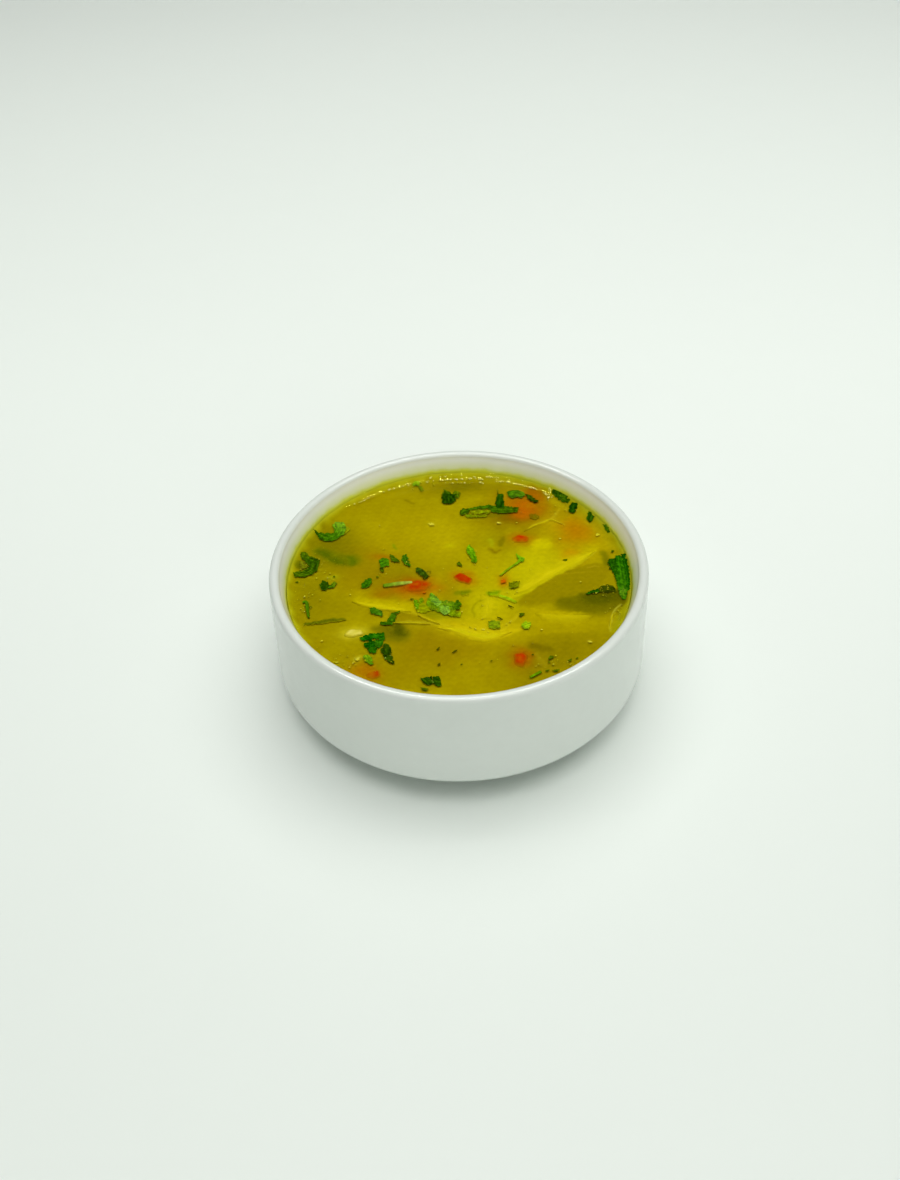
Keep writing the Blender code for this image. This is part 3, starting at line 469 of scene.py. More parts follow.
# Patches and lines with one sharp side, drawn along a path: path, half widths, softness of the
# left side and of the right side in millimetres, colour, strength
STROKES = (
    # the lit flank of the large piece and the dark water in front of it
    (((18, -10), (24, -6.2), (29.2, -2.8), (34.2, 0.8), (40.2, 5.2), (46.6, 9.2), (52.6, 13.4)),
     (2.5, 3, 3, 3, 3, 2.4, 1), 5, 0.35, (192, 183, 4), 0.9),
    (((23, -14), (30, -11), (38, -7), (46, -3), (52, 1)), (1.6, 4.4, 6.6, 7.2, 5.2), 0.4, 1.2,
     (147, 132, 0), 0.95),
    (((38.4, -15.4), (44, -16.2), (50, -16.4), (58, -14.6)), (3.2, 4.8, 5.6, 4.6), 1.4, 2.8,
     (106, 101, 0), 0.85),
    (((45.2, -11.6), (50, -13), (57, -11.6)), (1.2, 3.2, 3.6), 0.9, 2, (90, 90, 0), 0.8),
    (((40, 2.2), (44, 4.8), (48, 7.8), (52, 11.6), (54, 13.2)), (0.2, 0.35, 0.4, 0.35, 0.2), 0.3,
     0.3, (188, 172, 24), 0.7),
    (((38, 0.4), (46, 1.2), (55, 1.2)), (0.2, 0.4, 0.3), 0.3, 0.3, (168, 150, 14), 0.6),
    (((42, -1.6), (48, -2), (55, -1.8)), (0.2, 0.3, 0.2), 0.3, 0.3, (164, 147, 10), 0.5),
    (((49, 3.8), (51.4, 4.4), (53.6, 4)), (0.3, 0.4, 0.3), 0.3, 0.3, (172, 152, 24), 0.7),
    # the left shred, its fibres and the dark gap between them
    (((-38, -9.8), (-33, -11.2), (-26, -12.8), (-17, -14.8)), (1.4, 2.4, 2.8, 2.4), 1.8, 0.5,
     (187, 173, 0), 0.9),
    (((-25, -17.6), (-18, -19.6), (-10, -22)), (1.2, 1.8, 1.2), 0.5, 0.5, (150, 132, 0), 0.75),
    (((-22.4, -16), (-15.7, -18), (-11.7, -21), (-7.7, -23.3), (-3.7, -25.6)),
     (0.4, 0.7, 0.7, 0.8, 0.6), 0.5, 0.3, (185, 170, 10), 0.85),
    (((-26, -21.4), (-18.3, -22.2), (-10.3, -23.2), (-4, -25)), (0.5, 0.8, 0.8, 0.6), 0.4, 0.35,
     (176, 164, 20), 0.85),
    (((-24, -23.8), (-17, -24.2), (-11, -25)), (0.3, 0.5, 0.3), 0.5, 0.4, (160, 146, 6), 0.6),
    # the crest in front and the fold that runs up from it
    (((-7, -25.4), (0, -27.6), (5, -29.6), (11, -30.2), (17, -28.8), (22, -27.4)),
     (1.2, 2.2, 3, 2.8, 2, 1), 4, 0.4, (201, 184, 8), 0.9),
    (((14.6, -28.4), (17.6, -24.6), (21.6, -20)), (0.5, 0.8, 0.5), 0.8, 0.4, (198, 184, 20), 0.6),
    (((17, -32.4), (22, -30.4), (28, -29.6), (36, -29.4), (45, -29.6)), (1.4, 1.6, 1.6, 1.4, 1), 2,
     0.8, (170, 153, 0), 0.6),
    (((26, -18), (33, -20.4), (39, -21), (43.6, -20.8)), (0.8, 1.4, 1.2, 0.5), 0.4, 2.5,
     (182, 166, 2), 0.85),
    # the pale film at the back and the thin scraps beside it
    (((28.3, 27.7), (30.7, 30.3), (34.7, 32.3), (38, 33.7), (40, 37), (41.8, 39.8)),
     (0.3, 0.5, 0.5, 0.6, 0.5, 0.3), 0.4, 0.8, (187, 168, 22), 0.85),
    (((38, 33.7), (40.7, 31.7), (42.8, 29.7)), (0.5, 0.5, 0.3), 0.4, 0.4, (180, 160, 20), 0.8),
    (((58.6, -17), (55.8, -20.6), (54, -26), (53, -30.6)), (0.3, 0.5, 0.5, 0.3), 0.3, 0.3,
     (196, 192, 60), 0.7),
    (((60.4, -18.4), (58.2, -24), (55, -30.6)), (1.2, 2.4, 1.6), 0.8, 0.8, (164, 163, 10), 0.7),
    (((26, -40.6), (27.6, -44), (28.6, -46.4)), (0.6, 0.8, 0.5), 0.8, 0.8, (164, 146, 12), 0.7),
    # lighter water along the wall at the back
    (((-30, 56), (-20, 59.6), (-10, 61.6), (0, 62.4), (10, 61.8), (20, 59.4), (28, 56.6)),
     (1, 2, 2, 2, 2, 2.4, 2), 1.5, 1.2, (174, 164, 10), 0.7),
    (((37.6, 51), (40, 46), (46, 41.6), (51, 36.6), (56, 26), (60, 14)),
     (1.4, 2.6, 3, 2.6, 2.4, 1), 1.5, 1.5, (177, 162, 8), 0.7),
    # thin dark stems and a loop under the surface
    (((9.4, -11.4), (6.4, -13), (4.6, -16.4), (5, -20.6)), (0.3, 0.5, 0.5, 0.3), 0.4, 0.4,
     (140, 134, 0), 0.65),
    (((-56, -21.2), (-51, -20.2), (-46, -19.2), (-42, -19.4)), (0.5, 0.8, 0.7, 0.4), 0.4, 0.4,
     (104, 108, 4), 0.8),
    # leaves that have sunk
    (((-53.6, 19.4), (-49, 16.6), (-44.6, 13.6), (-40.2, 13)), (2.2, 2.6, 3.2, 3), 1.8, 1.8,
     (114, 120, 0), 0.8),
    (((-53.6, 19.2), (-50.6, 17)), (1.2, 1.4), 1.2, 1.2, (84, 100, 0), 0.8),
    (((-49.4, 14.2), (-47, 13.4), (-44.8, 12.2)), (0.8, 1.6, 0.9), 1, 1.1, (92, 106, 0), 0.8),
    (((-41.4, 15), (-40.2, 12.6), (-40.4, 10.6)), (0.9, 1.3, 0.7), 1, 1.1, (92, 112, 0), 0.85),
    (((-30.6, -24.8), (-26.4, -26.6), (-22, -28.4)), (1.4, 4.4, 3.6), 1.8, 2.2, (110, 106, 2),
     0.85),
    (((-22.8, -24), (-22.2, -26.4), (-21.8, -28.4)), (1.6, 1.9, 1.2), 1.3, 1.4, (84, 86, 0), 0.9),
    (((-1, -7.8), (3.6, -7)), (1.2, 1), 0.6, 0.6, (124, 130, 0), 0.8),
    (((10.8, -8.4), (14.6, -8)), (1, 0.9), 0.6, 0.6, (136, 158, 0), 0.85),
    (((18.6, 23.6), (17.4, 21), (17, 18.4)), (0.6, 1.2, 0.8), 0.7, 0.7, (122, 110, 0), 0.75),
    (((12.6, 16.8), (14.4, 15), (16.4, 15.6)), (0.6, 0.8, 0.5), 0.6, 0.6, (126, 104, 0), 0.7),
    (((13.2, 22), (13.6, 18.6)), (1, 0.8), 0.7, 0.7, (168, 168, 10), 0.7),
    (((25, -36.6), (30.4, -38.6)), (1.6, 1.4), 1.4, 1.4, (118, 103, 0), 0.8),
    (((-19.8, 49.4), (-17, 46.8)), (0.6, 0.5), 0.6, 0.6, (122, 108, 0), 0.75),
    (((-24.6, 21.4), (-23.8, 18.8)), (0.6, 0.4), 0.4, 0.4, (120, 144, 4), 0.75),
    (((5, 37.4), (12, 37.2), (20, 38.6)), (0.8, 1.4, 1.2), 0.9, 0.9, (120, 112, 0), 0.7),
    (((56, 12), (56.6, 6)), (1.2, 1.6), 0.8, 0.8, (108, 106, 0), 0.7),
    (((-61, 12), (-59, 10)), (2, 2), 0.8, 0.8, (94, 100, 0), 0.8),
)

def ripple_field(x, y, wavelength, seed, waves=9):
    """Smooth noise from -1 to 1: a sum of sines of about one wavelength in seeded directions."""
    draw = np.random.default_rng(seed)
    total = np.zeros_like(x)
    for _ in range(waves):
        heading = draw.uniform(0.0, 2.0 * np.pi)
        length = wavelength * draw.uniform(0.7, 1.5)
        along = x * math.cos(heading) + y * math.sin(heading)
        total += np.sin(2.0 * np.pi * along / length + draw.uniform(0.0, 2.0 * np.pi))
    return np.clip(total / math.sqrt(2.0 * waves), -1.0, 1.0)


def wall_inset(x, y):
    """Distance from the wall, inwards, at the broth's level."""
    slope = (LEDGE_RADIUS - COVE_RADIUS_TOP) / (LEDGE_HEIGHT - COVE_HEIGHT)
    shore = COVE_RADIUS_TOP + slope * (BROTH_LEVEL - COVE_HEIGHT)
    return np.maximum(shore - np.hypot(x, y), 0.0)


def surface_height(x, y):
    """Level of the wet surface: flat, and climbing the wall in an exponential curve."""
    return BROTH_LEVEL + MENISCUS_RISE * np.exp(-wall_inset(x, y) / MENISCUS_REACH)


def smooth_path(points, values, stations):
    """Catmull-Rom curve through (x, y) points: centres, unit directions, a value and the share
    along, each as an array with one row a station."""
    knots = np.asarray(points, dtype=float)
    knots = np.concatenate([[2 * knots[0] - knots[1]], knots, [2 * knots[-1] - knots[-2]]])
    share = np.linspace(0.0, 1.0, stations)
    place = share * (len(points) - 1)
    span = np.minimum(place.astype(int), len(points) - 2)
    t = (place - span)[:, None]
    before, start, end, after = (knots[span + offset] for offset in range(4))
    bend = 2 * before - 5 * start + 4 * end - after
    twist = 3 * start - before - 3 * end + after
    centre = 0.5 * (2 * start + (end - before) * t + bend * t ** 2 + twist * t ** 3)
    slope = 0.5 * ((end - before) + 2 * bend * t + 3 * twist * t ** 2)
    direction = slope / np.linalg.norm(slope, axis=1, keepdims=True)
    return centre, direction, np.interp(place, np.arange(len(points)), values), share


def falloff(distance, soft):
    """1 where the distance is well below 0 and 0 well above it, as a logistic curve."""
    return 1.0 / (1.0 + np.exp(np.clip(distance / soft, -30.0, 30.0)))


def stroke_mask(x, y, path, half_widths, left_soft, right_soft):
    """Mask of a stroke: 1 within the half width of the path's curve, 0 beyond the softness of
    that side. The nearest of the curve's stations gives the distance and the side."""
    centre, direction, half, _ = smooth_path(path, half_widths, 6 * len(path))
    best = np.full(x.shape, 1e9)
    side = np.zeros_like(x)
    reach = np.ones_like(x)
    for middle, heading, width in zip(centre, direction, half):
        gap = np.hypot(x - middle[0], y - middle[1])
        nearer = gap < best
        best = np.where(nearer, gap, best)
        turned = heading[0] * (y - middle[1]) - heading[1] * (x - middle[0])
        side = np.where(nearer, turned, side)
        reach = np.where(nearer, width, reach)
    return falloff(best - reach, 0.35 * np.where(side > 0.0, left_soft, right_soft))


def evenly(colour, shape):
    """One display colour for every point of an array."""
    return np.broadcast_to(np.asarray(colour, dtype=float), (*shape, 3))


def blend(base, colour, mask):
    """Display colours moved towards one colour by a mask of 0 to 1."""
    return base + (np.asarray(colour, dtype=float) - base) * mask[..., None]


def broth_colour(x, y):
    """Display colour of the murky broth at a place.

    The plain colour drifts lighter and darker with two scales of smooth noise. Each cloud then
    mixes its own colour in over an ellipse, and each stroke along its path. The last few
    millimetres turn lime where the broth thins out on the white wall."""
    drift = 0.6 * ripple_field(x, y, 30.0, 3) + 0.4 * ripple_field(x, y, 9.0, 4)
    colour = blend(evenly(BROTH_COLOUR, x.shape), BROTH_LIGHT, np.clip(drift, 0.0, 1.0))
    colour = blend(colour, BROTH_DEEP, np.clip(-drift, 0.0, 1.0))
    warp_x = 0.9 * ripple_field(x, y, 8.0, 5)
    warp_y = 0.9 * ripple_field(x, y, 8.0, 6)
    for (middle_x, middle_y), half_length, half_width, heading, soft, tint, strength in CLOUDS:
        turn = math.radians(heading)
        small = min(half_width / 4.0, 1.0)
        place_x = x + warp_x * small - middle_x
        place_y = y + warp_y * small - middle_y
        along = (place_x * math.cos(turn) + place_y * math.sin(turn)) / half_length
        across = (place_y * math.cos(turn) - place_x * math.sin(turn)) / half_width
        colour = blend(colour, tint, strength * falloff(np.hypot(along, across) - 1.0, soft))
    waver_x = x + 0.3 * ripple_field(x, y, 3.5, 9)
    waver_y = y + 0.3 * ripple_field(x, y, 3.5, 10)
    for path, half_widths, left_soft, right_soft, tint, strength in STROKES:
        mask = stroke_mask(waver_x, waver_y, path, half_widths, left_soft, right_soft)
        colour = blend(colour, tint, strength * mask)
    grain = 1.0 + 0.025 * ripple_field(x, y, 3.0, 12) + 0.02 * ripple_field(x, y, 1.6, 13)
    ragged = 1.6 + 0.6 * ripple_field(x, y, 6.0, 8)
    fringe = np.exp(-(wall_inset(x, y) / ragged) ** 2)
    shore = np.exp(-(wall_inset(x, y) / (0.5 * ragged)) ** 2)
    colour = blend(colour * grain[..., None], FRINGE_COLOUR, 0.85 * fringe)
    return blend(colour, SHORE_COLOUR, 0.7 * shore)


def fan_faces(ring, pole):
    """Triangles from a ring of point numbers to one pole."""
    return np.stack([np.full(len(ring), pole), ring, np.roll(ring, -1)], axis=-1)


def grid_rim(rows, columns):
    """Point numbers once round the edge of a grid."""
    number = np.arange(rows * columns).reshape(rows, columns)
    return np.concatenate([number[0, :-1], number[:-1, -1], number[-1, :0:-1], number[:0:-1, 0]])


def broth_body():
    """Closed body of the broth: a square grid bent into a disc for its top, and rings that follow
    the inside of the bowl down to a pole for its underside.

    The disc is x = u sqrt(1 - v v / 2), y = v sqrt(1 - u u / 2) times the shore's radius."""
    side = np.linspace(-1.0, 1.0, BODY_GRID)
    v, u = np.meshgrid(side, side, indexing="ij")
    shore = float(wall_inset(0.0, 0.0)) - 0.1
    x = shore * u * np.sqrt(1.0 - 0.5 * v * v)
    y = shore * v * np.sqrt(1.0 - 0.5 * u * u)
    under = BODY_EDGE + (BODY_DEPTH - BODY_EDGE) * (1.0 - np.exp(-wall_inset(x, y) / 2.5))
    top = np.stack([x, y, surface_height(x, y) - under], axis=-1).reshape(-1, 3)
    rim = grid_rim(BODY_GRID, BODY_GRID)
    radii, heights = cove(9)
    rings = ring_points(radii - 0.2, heights + 0.2, np.arctan2(top[rim, 1], top[rim, 0]))
    points = np.concatenate([top, rings, [[0.0, 0.0, FLOOR_HEIGHT + 0.2]]])
    first = len(top) + np.arange(len(rim))
    last = first + len(rings) - len(rim)
    collar = np.stack([rim, first, np.roll(first, -1), np.roll(rim, -1)], axis=-1)
    below = grid_faces(len(radii), len(rim), start=len(top), closed=True)[:, ::-1]
    set_back = BODY_SLANT * np.clip(BROTH_LEVEL - points[:, 2], 0.0, BODY_DEPTH)
    return build_mesh("broth_body", points,
                      [grid_faces(BODY_GRID, BODY_GRID), collar, below,
                       fan_faces(last, len(points) - 1)[:, (0, 2, 1)]],
                      broth_colour(points[:, 0], points[:, 1] - set_back))


def broth_surface():
    """Wet surface of the broth: rings out to the wall, close together where it climbs."""
    shore = float(wall_inset(0.0, 0.0)) + 0.15
    radius = shore * (1.0 - (1.0 - np.linspace(0.0, 1.0, SURFACE_RINGS)[1:]) ** 1.9)
    angle = 2.0 * np.pi * np.arange(SURFACE_STEPS) / SURFACE_STEPS
    points = ring_points(radius, 0.0 * radius, angle)
    x, y = points[:, 0], points[:, 1]
    rise = 0.03 * ripple_field(x, y, 3.2, 11) + 0.012 * ripple_field(x, y, 1.3, 14)
    points[:, 2] = surface_height(x, y) + rise * np.exp(-(wall_inset(x, y) - 2.4) ** 2 / 4.0)
    return build_mesh("broth_surface", np.concatenate([points, [[0.0, 0.0, BROTH_LEVEL]]]),
                      [grid_faces(len(radius), SURFACE_STEPS, closed=True)[:, ::-1],
                       fan_faces(np.arange(SURFACE_STEPS), len(points))])


def tinted_material(name, roughness, broad, fine, contrast, bump, specular=0.0):
    """A material that reads the tint attribute, mottles it and raises a fine bump."""
    material, tree, shader = new_material(name, roughness, Specular_IOR_Level=specular)
    tint = add_node(tree, "VertexColor", layer_name="tint").outputs["Color"]
    mottle = add_mottle(tree, broad, fine, contrast)
    shaded = add_mix(tree, 1.0, tint, (0.84, 0.84, 0.84), "MULTIPLY")
    lit = add_mix(tree, 1.0, tint, (1.14, 1.14, 1.14), "MULTIPLY")
    tree.links.new(add_mix(tree, mottle.outputs["Value"], shaded, lit),
                   shader.inputs["Base Color"])
    add_bump(tree, shader, mottle.outputs["Height"], bump, 0.0004)
    return material


body = broth_body()
body.data.materials.append(tinted_material("murky_broth", 0.8, 150.0, 900.0, 0.22, 0.02))
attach(body, "root")
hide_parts("broth")


def wet_material():
    """Clear wet skin: see-through, with a mirror mixed in by Fresnel and a fine bump on it."""
    wet = bpy.data.materials.new("wet_surface")
    wet.use_nodes = True
    tree = wet.node_tree
    tree.nodes.remove(tree.nodes["Principled BSDF"])
    clear = add_node(tree, "BsdfTransparent", {"Color": (0.985, 0.985, 0.93, 1.0)})
    mirror = add_node(tree, "BsdfGlossy", {"Color": (1.0, 0.97, 0.1, 1.0), "Roughness": 0.015})
    fresnel = add_node(tree, "Fresnel", {"IOR": 1.22})
    skin = add_node(tree, "MixShader", {0: fresnel.outputs["Fac"], 1: clear.outputs["BSDF"],
                                        2: mirror.outputs["BSDF"]})
    tree.links.new(skin.outputs["Shader"], tree.nodes["Material Output"].inputs["Surface"])
    add_bump(tree, mirror, add_mottle(tree, 120.0, 700.0, 1.0).outputs["Height"], 0.05, 0.0004)
    return wet


surface = broth_surface()
surface.data.materials.append(wet_material())
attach(surface, "root")


# ------------------------------------------------------------------ chicken
# Boiled chicken pulled into flat shreds and single fibres, stained yellow by the broth. The shreds
# lie in the murk with their crests at the surface. One edge of each is torn sharp and the other
# sinks away softly.

MEAT_COLOUR = (194, 182, 3)
MEAT_PALE = (210, 197, 24)
MEAT_FOG = 0.42                           # millimetres under the surface for the murk to win
MEAT_STATIONS = 120
MEAT_AROUND = 52

# Name, path, half widths left and right of it, height of the crest over the level, fibre pitch
SHREDS = (
    ("chicken_ridge", ((20.3, -9), (26.4, -5.2), (33, -0.4), (40, 4.6), (47.4, 9.4), (53.2, 14)),
     (3, 7, 9, 9, 6, 1.8), (1.2, 2.4, 3, 2.8, 2.2, 0.8), 0, 1.5),
    ("chicken_crest", ((-8.5, -25.2), (-2, -27.2), (4, -30), (10, -31.4), (18, -28.6)),
     (1.4, 4, 7, 7, 2.4), (0.6, 1.4, 2.4, 2.2, 0.8), 0.05, 1.3),
    ("chicken_band_right", ((27, -19.4), (34, -21.2), (42, -21.8), (48, -22)),
     (0.8, 1.6, 1.6, 0.8), (1.8, 5.4, 5.4, 1.8), -0.16, 1.4),
    ("chicken_band_left", ((-40, -9.5), (-33, -12.6), (-24, -15), (-17.5, -16.2)),
     (1.2, 4, 4, 1.2), (0.6, 1.3, 1.3, 0.6), 0, 1.1),
    ("chicken_fibre_long", ((-27, -21.6), (-18, -22.3), (-10.8, -23.2)), (0.4, 0.8, 0.4),
     (0.4, 0.7, 0.4), 0.06, 0.7),
    ("chicken_fibre_short", ((-15.6, -18.2), (-11.6, -21), (-7.5, -23.3)), (0.4, 0.8, 0.4),
     (0.4, 0.7, 0.4), 0.08, 0.7),
    ("chicken_film", ((26.4, 27), (30.7, 30.3), (34.7, 32.3), (38, 33.7), (42.6, 30)),
     (0.3, 0.6, 0.6, 0.7, 0.3), (0.4, 0.9, 1.3, 1, 0.4), 0, 0.7),
    ("chicken_centre", ((8, -8), (10.5, -13), (9.8, -18), (7, -22)), (1.6, 4, 4, 1.6),
     (1.6, 4, 4, 1.6), -0.1, 1.4),
    ("chicken_fibre_wall", ((56, -20), (54, -25), (53, -30)), (0.4, 0.6, 0.4), (0.4, 0.6, 0.4),
     0.14, 0.7),
)


def fogged(colour, x, y, depth, reach, full=None):
    """Display colours seen through murky broth: they fade into its own colour with depth, and
    are all broth at the depth full where that is given."""
    seen = np.exp(-np.maximum(depth, 0.0) / reach)
    if full is not None:
        floor = math.exp(-full / reach)
        seen = np.clip((seen - floor) / (1.0 - floor), 0.0, 1.0)
    set_back = BODY_SLANT * np.clip(depth, 0.0, BODY_DEPTH)
    return blend(broth_colour(x, y - set_back), np.clip(colour, 0.0, 255.0), seen)


def carried(centre, direction, spread, z):
    """Points of a tube, ring by ring: a spread to the left of each station and a height, and
    then the middles of its two ends."""
    x = centre[:, :1] - direction[:, 1:] * spread
    y = centre[:, 1:] + direction[:, :1] * spread
    rings = np.stack([x, y, z], axis=-1)
    return np.concatenate([rings.reshape(-1, 3), rings[[0, -1]].mean(axis=1)])


def meat_strip(name, path, left, right, crest, pitch, seed):
    """Torn shred: a low mound carried along the path, closed underneath.

    Its top falls from the crest on the path to the body of the broth, as a cosine on each side,
    over its own half width there. Long fibres are sines across it whose phase wanders along; they
    raise the top a little and lighten it."""
    centre, direction, left_width, share = smooth_path(path, left, MEAT_STATIONS)
    right_width = smooth_path(path, right, MEAT_STATIONS)[2]
    ragged = 1.0 + 0.1 * np.sin(19.0 * share + seed) + 0.07 * np.sin(43.0 * share + 2.0 * seed)
    ends = np.clip(np.minimum(share, 1.0 - share) * 6.0, 0.0, 1.0) ** 0.6 + 1e-3
    angle = 2.0 * np.pi * np.arange(MEAT_AROUND) / MEAT_AROUND
    across = np.outer(np.ones(MEAT_STATIONS), np.cos(angle))
    width = np.where(across > 0.0, left_width[:, None], right_width[:, None])
    spread = across * width * (ragged * ends)[:, None]
    wander = 0.9 * np.sin(4.0 * share[:, None] + seed) + 0.4 * np.sin(15.0 * share[:, None])
    turn = 2.0 * np.pi / pitch
    fibres = (np.sin(turn * spread + 3.0 * wander)
              + 0.7 * np.sin(0.57 * turn * spread - 2.0 * wander + seed)
              + 0.5 * np.sin(1.7 * turn * spread + 4.0 * wander)) / 2.2
    mound = 0.5 + 0.5 * np.cos(np.pi * np.abs(across))
    height = (crest + BODY_DEPTH) * (ends ** 0.5)[:, None] * mound + 0.03 * fibres * mound
    height = np.where(np.sin(angle) >= 0.0, height, -0.5 * (1.0 - across ** 2))
    points = carried(centre, direction, spread, BROTH_LEVEL - BODY_DEPTH + height - 0.02)
    pale = np.append(np.clip(0.3 + 0.5 * fibres, 0.0, 1.0), [0.0, 0.0])
    tint = fogged(blend(evenly(MEAT_COLOUR, pale.shape), MEAT_PALE, pale), *points.T[:2],
                  BROTH_LEVEL - points[:, 2], MEAT_FOG, BODY_DEPTH)
    return build_mesh(name, points, tube_faces(MEAT_STATIONS, MEAT_AROUND), tint,
                      sharp_degrees=80.0)


meat = tinted_material("boiled_chicken", 0.5, 260.0, 1500.0, 0.5, 0.15)
for index, (node, *shape) in enumerate(SHREDS):
    strip = meat_strip(node + "_shred", *shape, 1.7 * index + 0.4)
    strip.data.materials.append(meat)
    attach(strip, "root")
    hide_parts(node)


# ------------------------------------------------------------------ carrot, pepper and garlic
# Hand-cut dice of cooked carrot and red pepper and a piece of soft garlic. Most of each is under
# the surface; the wet top of it stands a little out of the broth.

DICE_FOG = 0.4
DICE_ROWS = 34
DICE_AROUND = 56

# Node, middle, (length, width, height), heading, how far out, squareness, two colours, slot
DICE = (
    ("pepper_long", (-15.7, -2), (12, 7.4, 3), 3, 0.06, 0.9, (178, 44, 0), (184, 86, 0),
     "red_pepper"),
    ("pepper_middle", (1.7, 0.9), (8, 4.7, 3), -38, 0.14, 0.74, (178, 38, 0), (184, 66, 0),
     "red_pepper"),
    ("pepper_back", (24.9, 22.8), (7.2, 5, 2.6), 0, 0.08, 0.85, (186, 50, 0), (180, 98, 0),
     "red_pepper"),
    ("pepper_front", (20.2, -42.1), (8.4, 5.4, 3.2), 82, 0.05, 0.86, (180, 48, 0), (180, 76, 0),
     "red_pepper"),
    ("pepper_front_left", (-30.8, -47), (6, 4.4, 3), 20, 0.04, 0.85, (172, 54, 0), (174, 106, 2),
     "red_pepper"),
    ("carrot_back", (28.8, 42.8), (12.6, 9.2, 4), -28, -0.14, 1, (180, 104, 0), (180, 122, 0),
     "carrot"),
    ("garlic", (-38.5, -26.2), (7.4, 4.2, 3), 6, 0.22, 0.85, (206, 192, 58), (224, 211, 98),
     "garlic"),
)


def turned_to(middle_x, middle_y, along, across, heading):
    """Places given along and across a heading, turned to it and moved to the middle."""
    return (middle_x + along * np.cos(heading) - across * np.sin(heading),
            middle_y + along * np.sin(heading) + across * np.cos(heading))


def lump(name, middle, size, heading, top, squareness, colour, lit_colour, seed):
    """Rounded block: a superellipsoid whose surface swells and dips by three smooth waves."""
    tilt = np.linspace(-0.5 * np.pi, 0.5 * np.pi, DICE_ROWS + 2)[1:-1, None]
    angle = (2.0 * np.pi * np.arange(DICE_AROUND) / DICE_AROUND)[None, :]

    def squared(value):
        return np.sign(value) * np.abs(value) ** squareness

    swell = 1.0 + 0.06 * np.sin(3.0 * angle + seed) + 0.05 * np.sin(5.0 * angle + 2.0 * seed)
    length, width, height = size
    along = 0.5 * length * squared(np.cos(tilt)) * squared(np.cos(angle)) * swell
    across = 0.5 * width * squared(np.cos(tilt)) * squared(np.sin(angle)) * swell
    rise = 0.5 * height * squared(np.sin(tilt)) * np.ones_like(angle)
    x, y = turned_to(*middle, along, across, math.radians(heading))
    high = BROTH_LEVEL + top
    z = high - 0.5 * height + rise + 0.06 * np.sin(2.2 * along + seed)
    points = np.concatenate([np.stack([x, y, z], axis=-1).reshape(-1, 3),
                             [[*middle, high - height], [*middle, high]]])
    lit = 0.5 + 0.5 * ripple_field(*points.T[:2], 3.2, int(seed * 10))
    tint = fogged(blend(evenly(colour, lit.shape), lit_colour, lit), *points.T[:2],
                  BROTH_LEVEL - points[:, 2], DICE_FOG, BODY_DEPTH)
    return build_mesh(name, points, tube_faces(DICE_ROWS, DICE_AROUND), tint)


vegetable = tinted_material("wet_vegetable", 0.25, 300.0, 1400.0, 0.6, 0.12)
for index, (node, *shape, slot) in enumerate(DICE):
    block = lump(node + "_dice", *shape, 1.3 * index + 0.5)
    block.data.materials.append(vegetable)
    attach(block, "root")
    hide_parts(node)


# ------------------------------------------------------------------ coriander leaves
# Coriander leaves chopped across, thin and limp, dark green with paler ribs and cut edges. They
# float on the surface, follow it up the wall, and lie over the meat and dice where they cross
# them. Some have sunk a little into the murk.

LEAF_THICKNESS = 0.1
LEAF_CROWN = 0.08
LEAF_NICK = 0.3
LEAF_FOG = 0.35
LEAF_DEEP = -0.6                          # a blade whose lift is below this has sunk far
SUNK_CROWN = 0.2

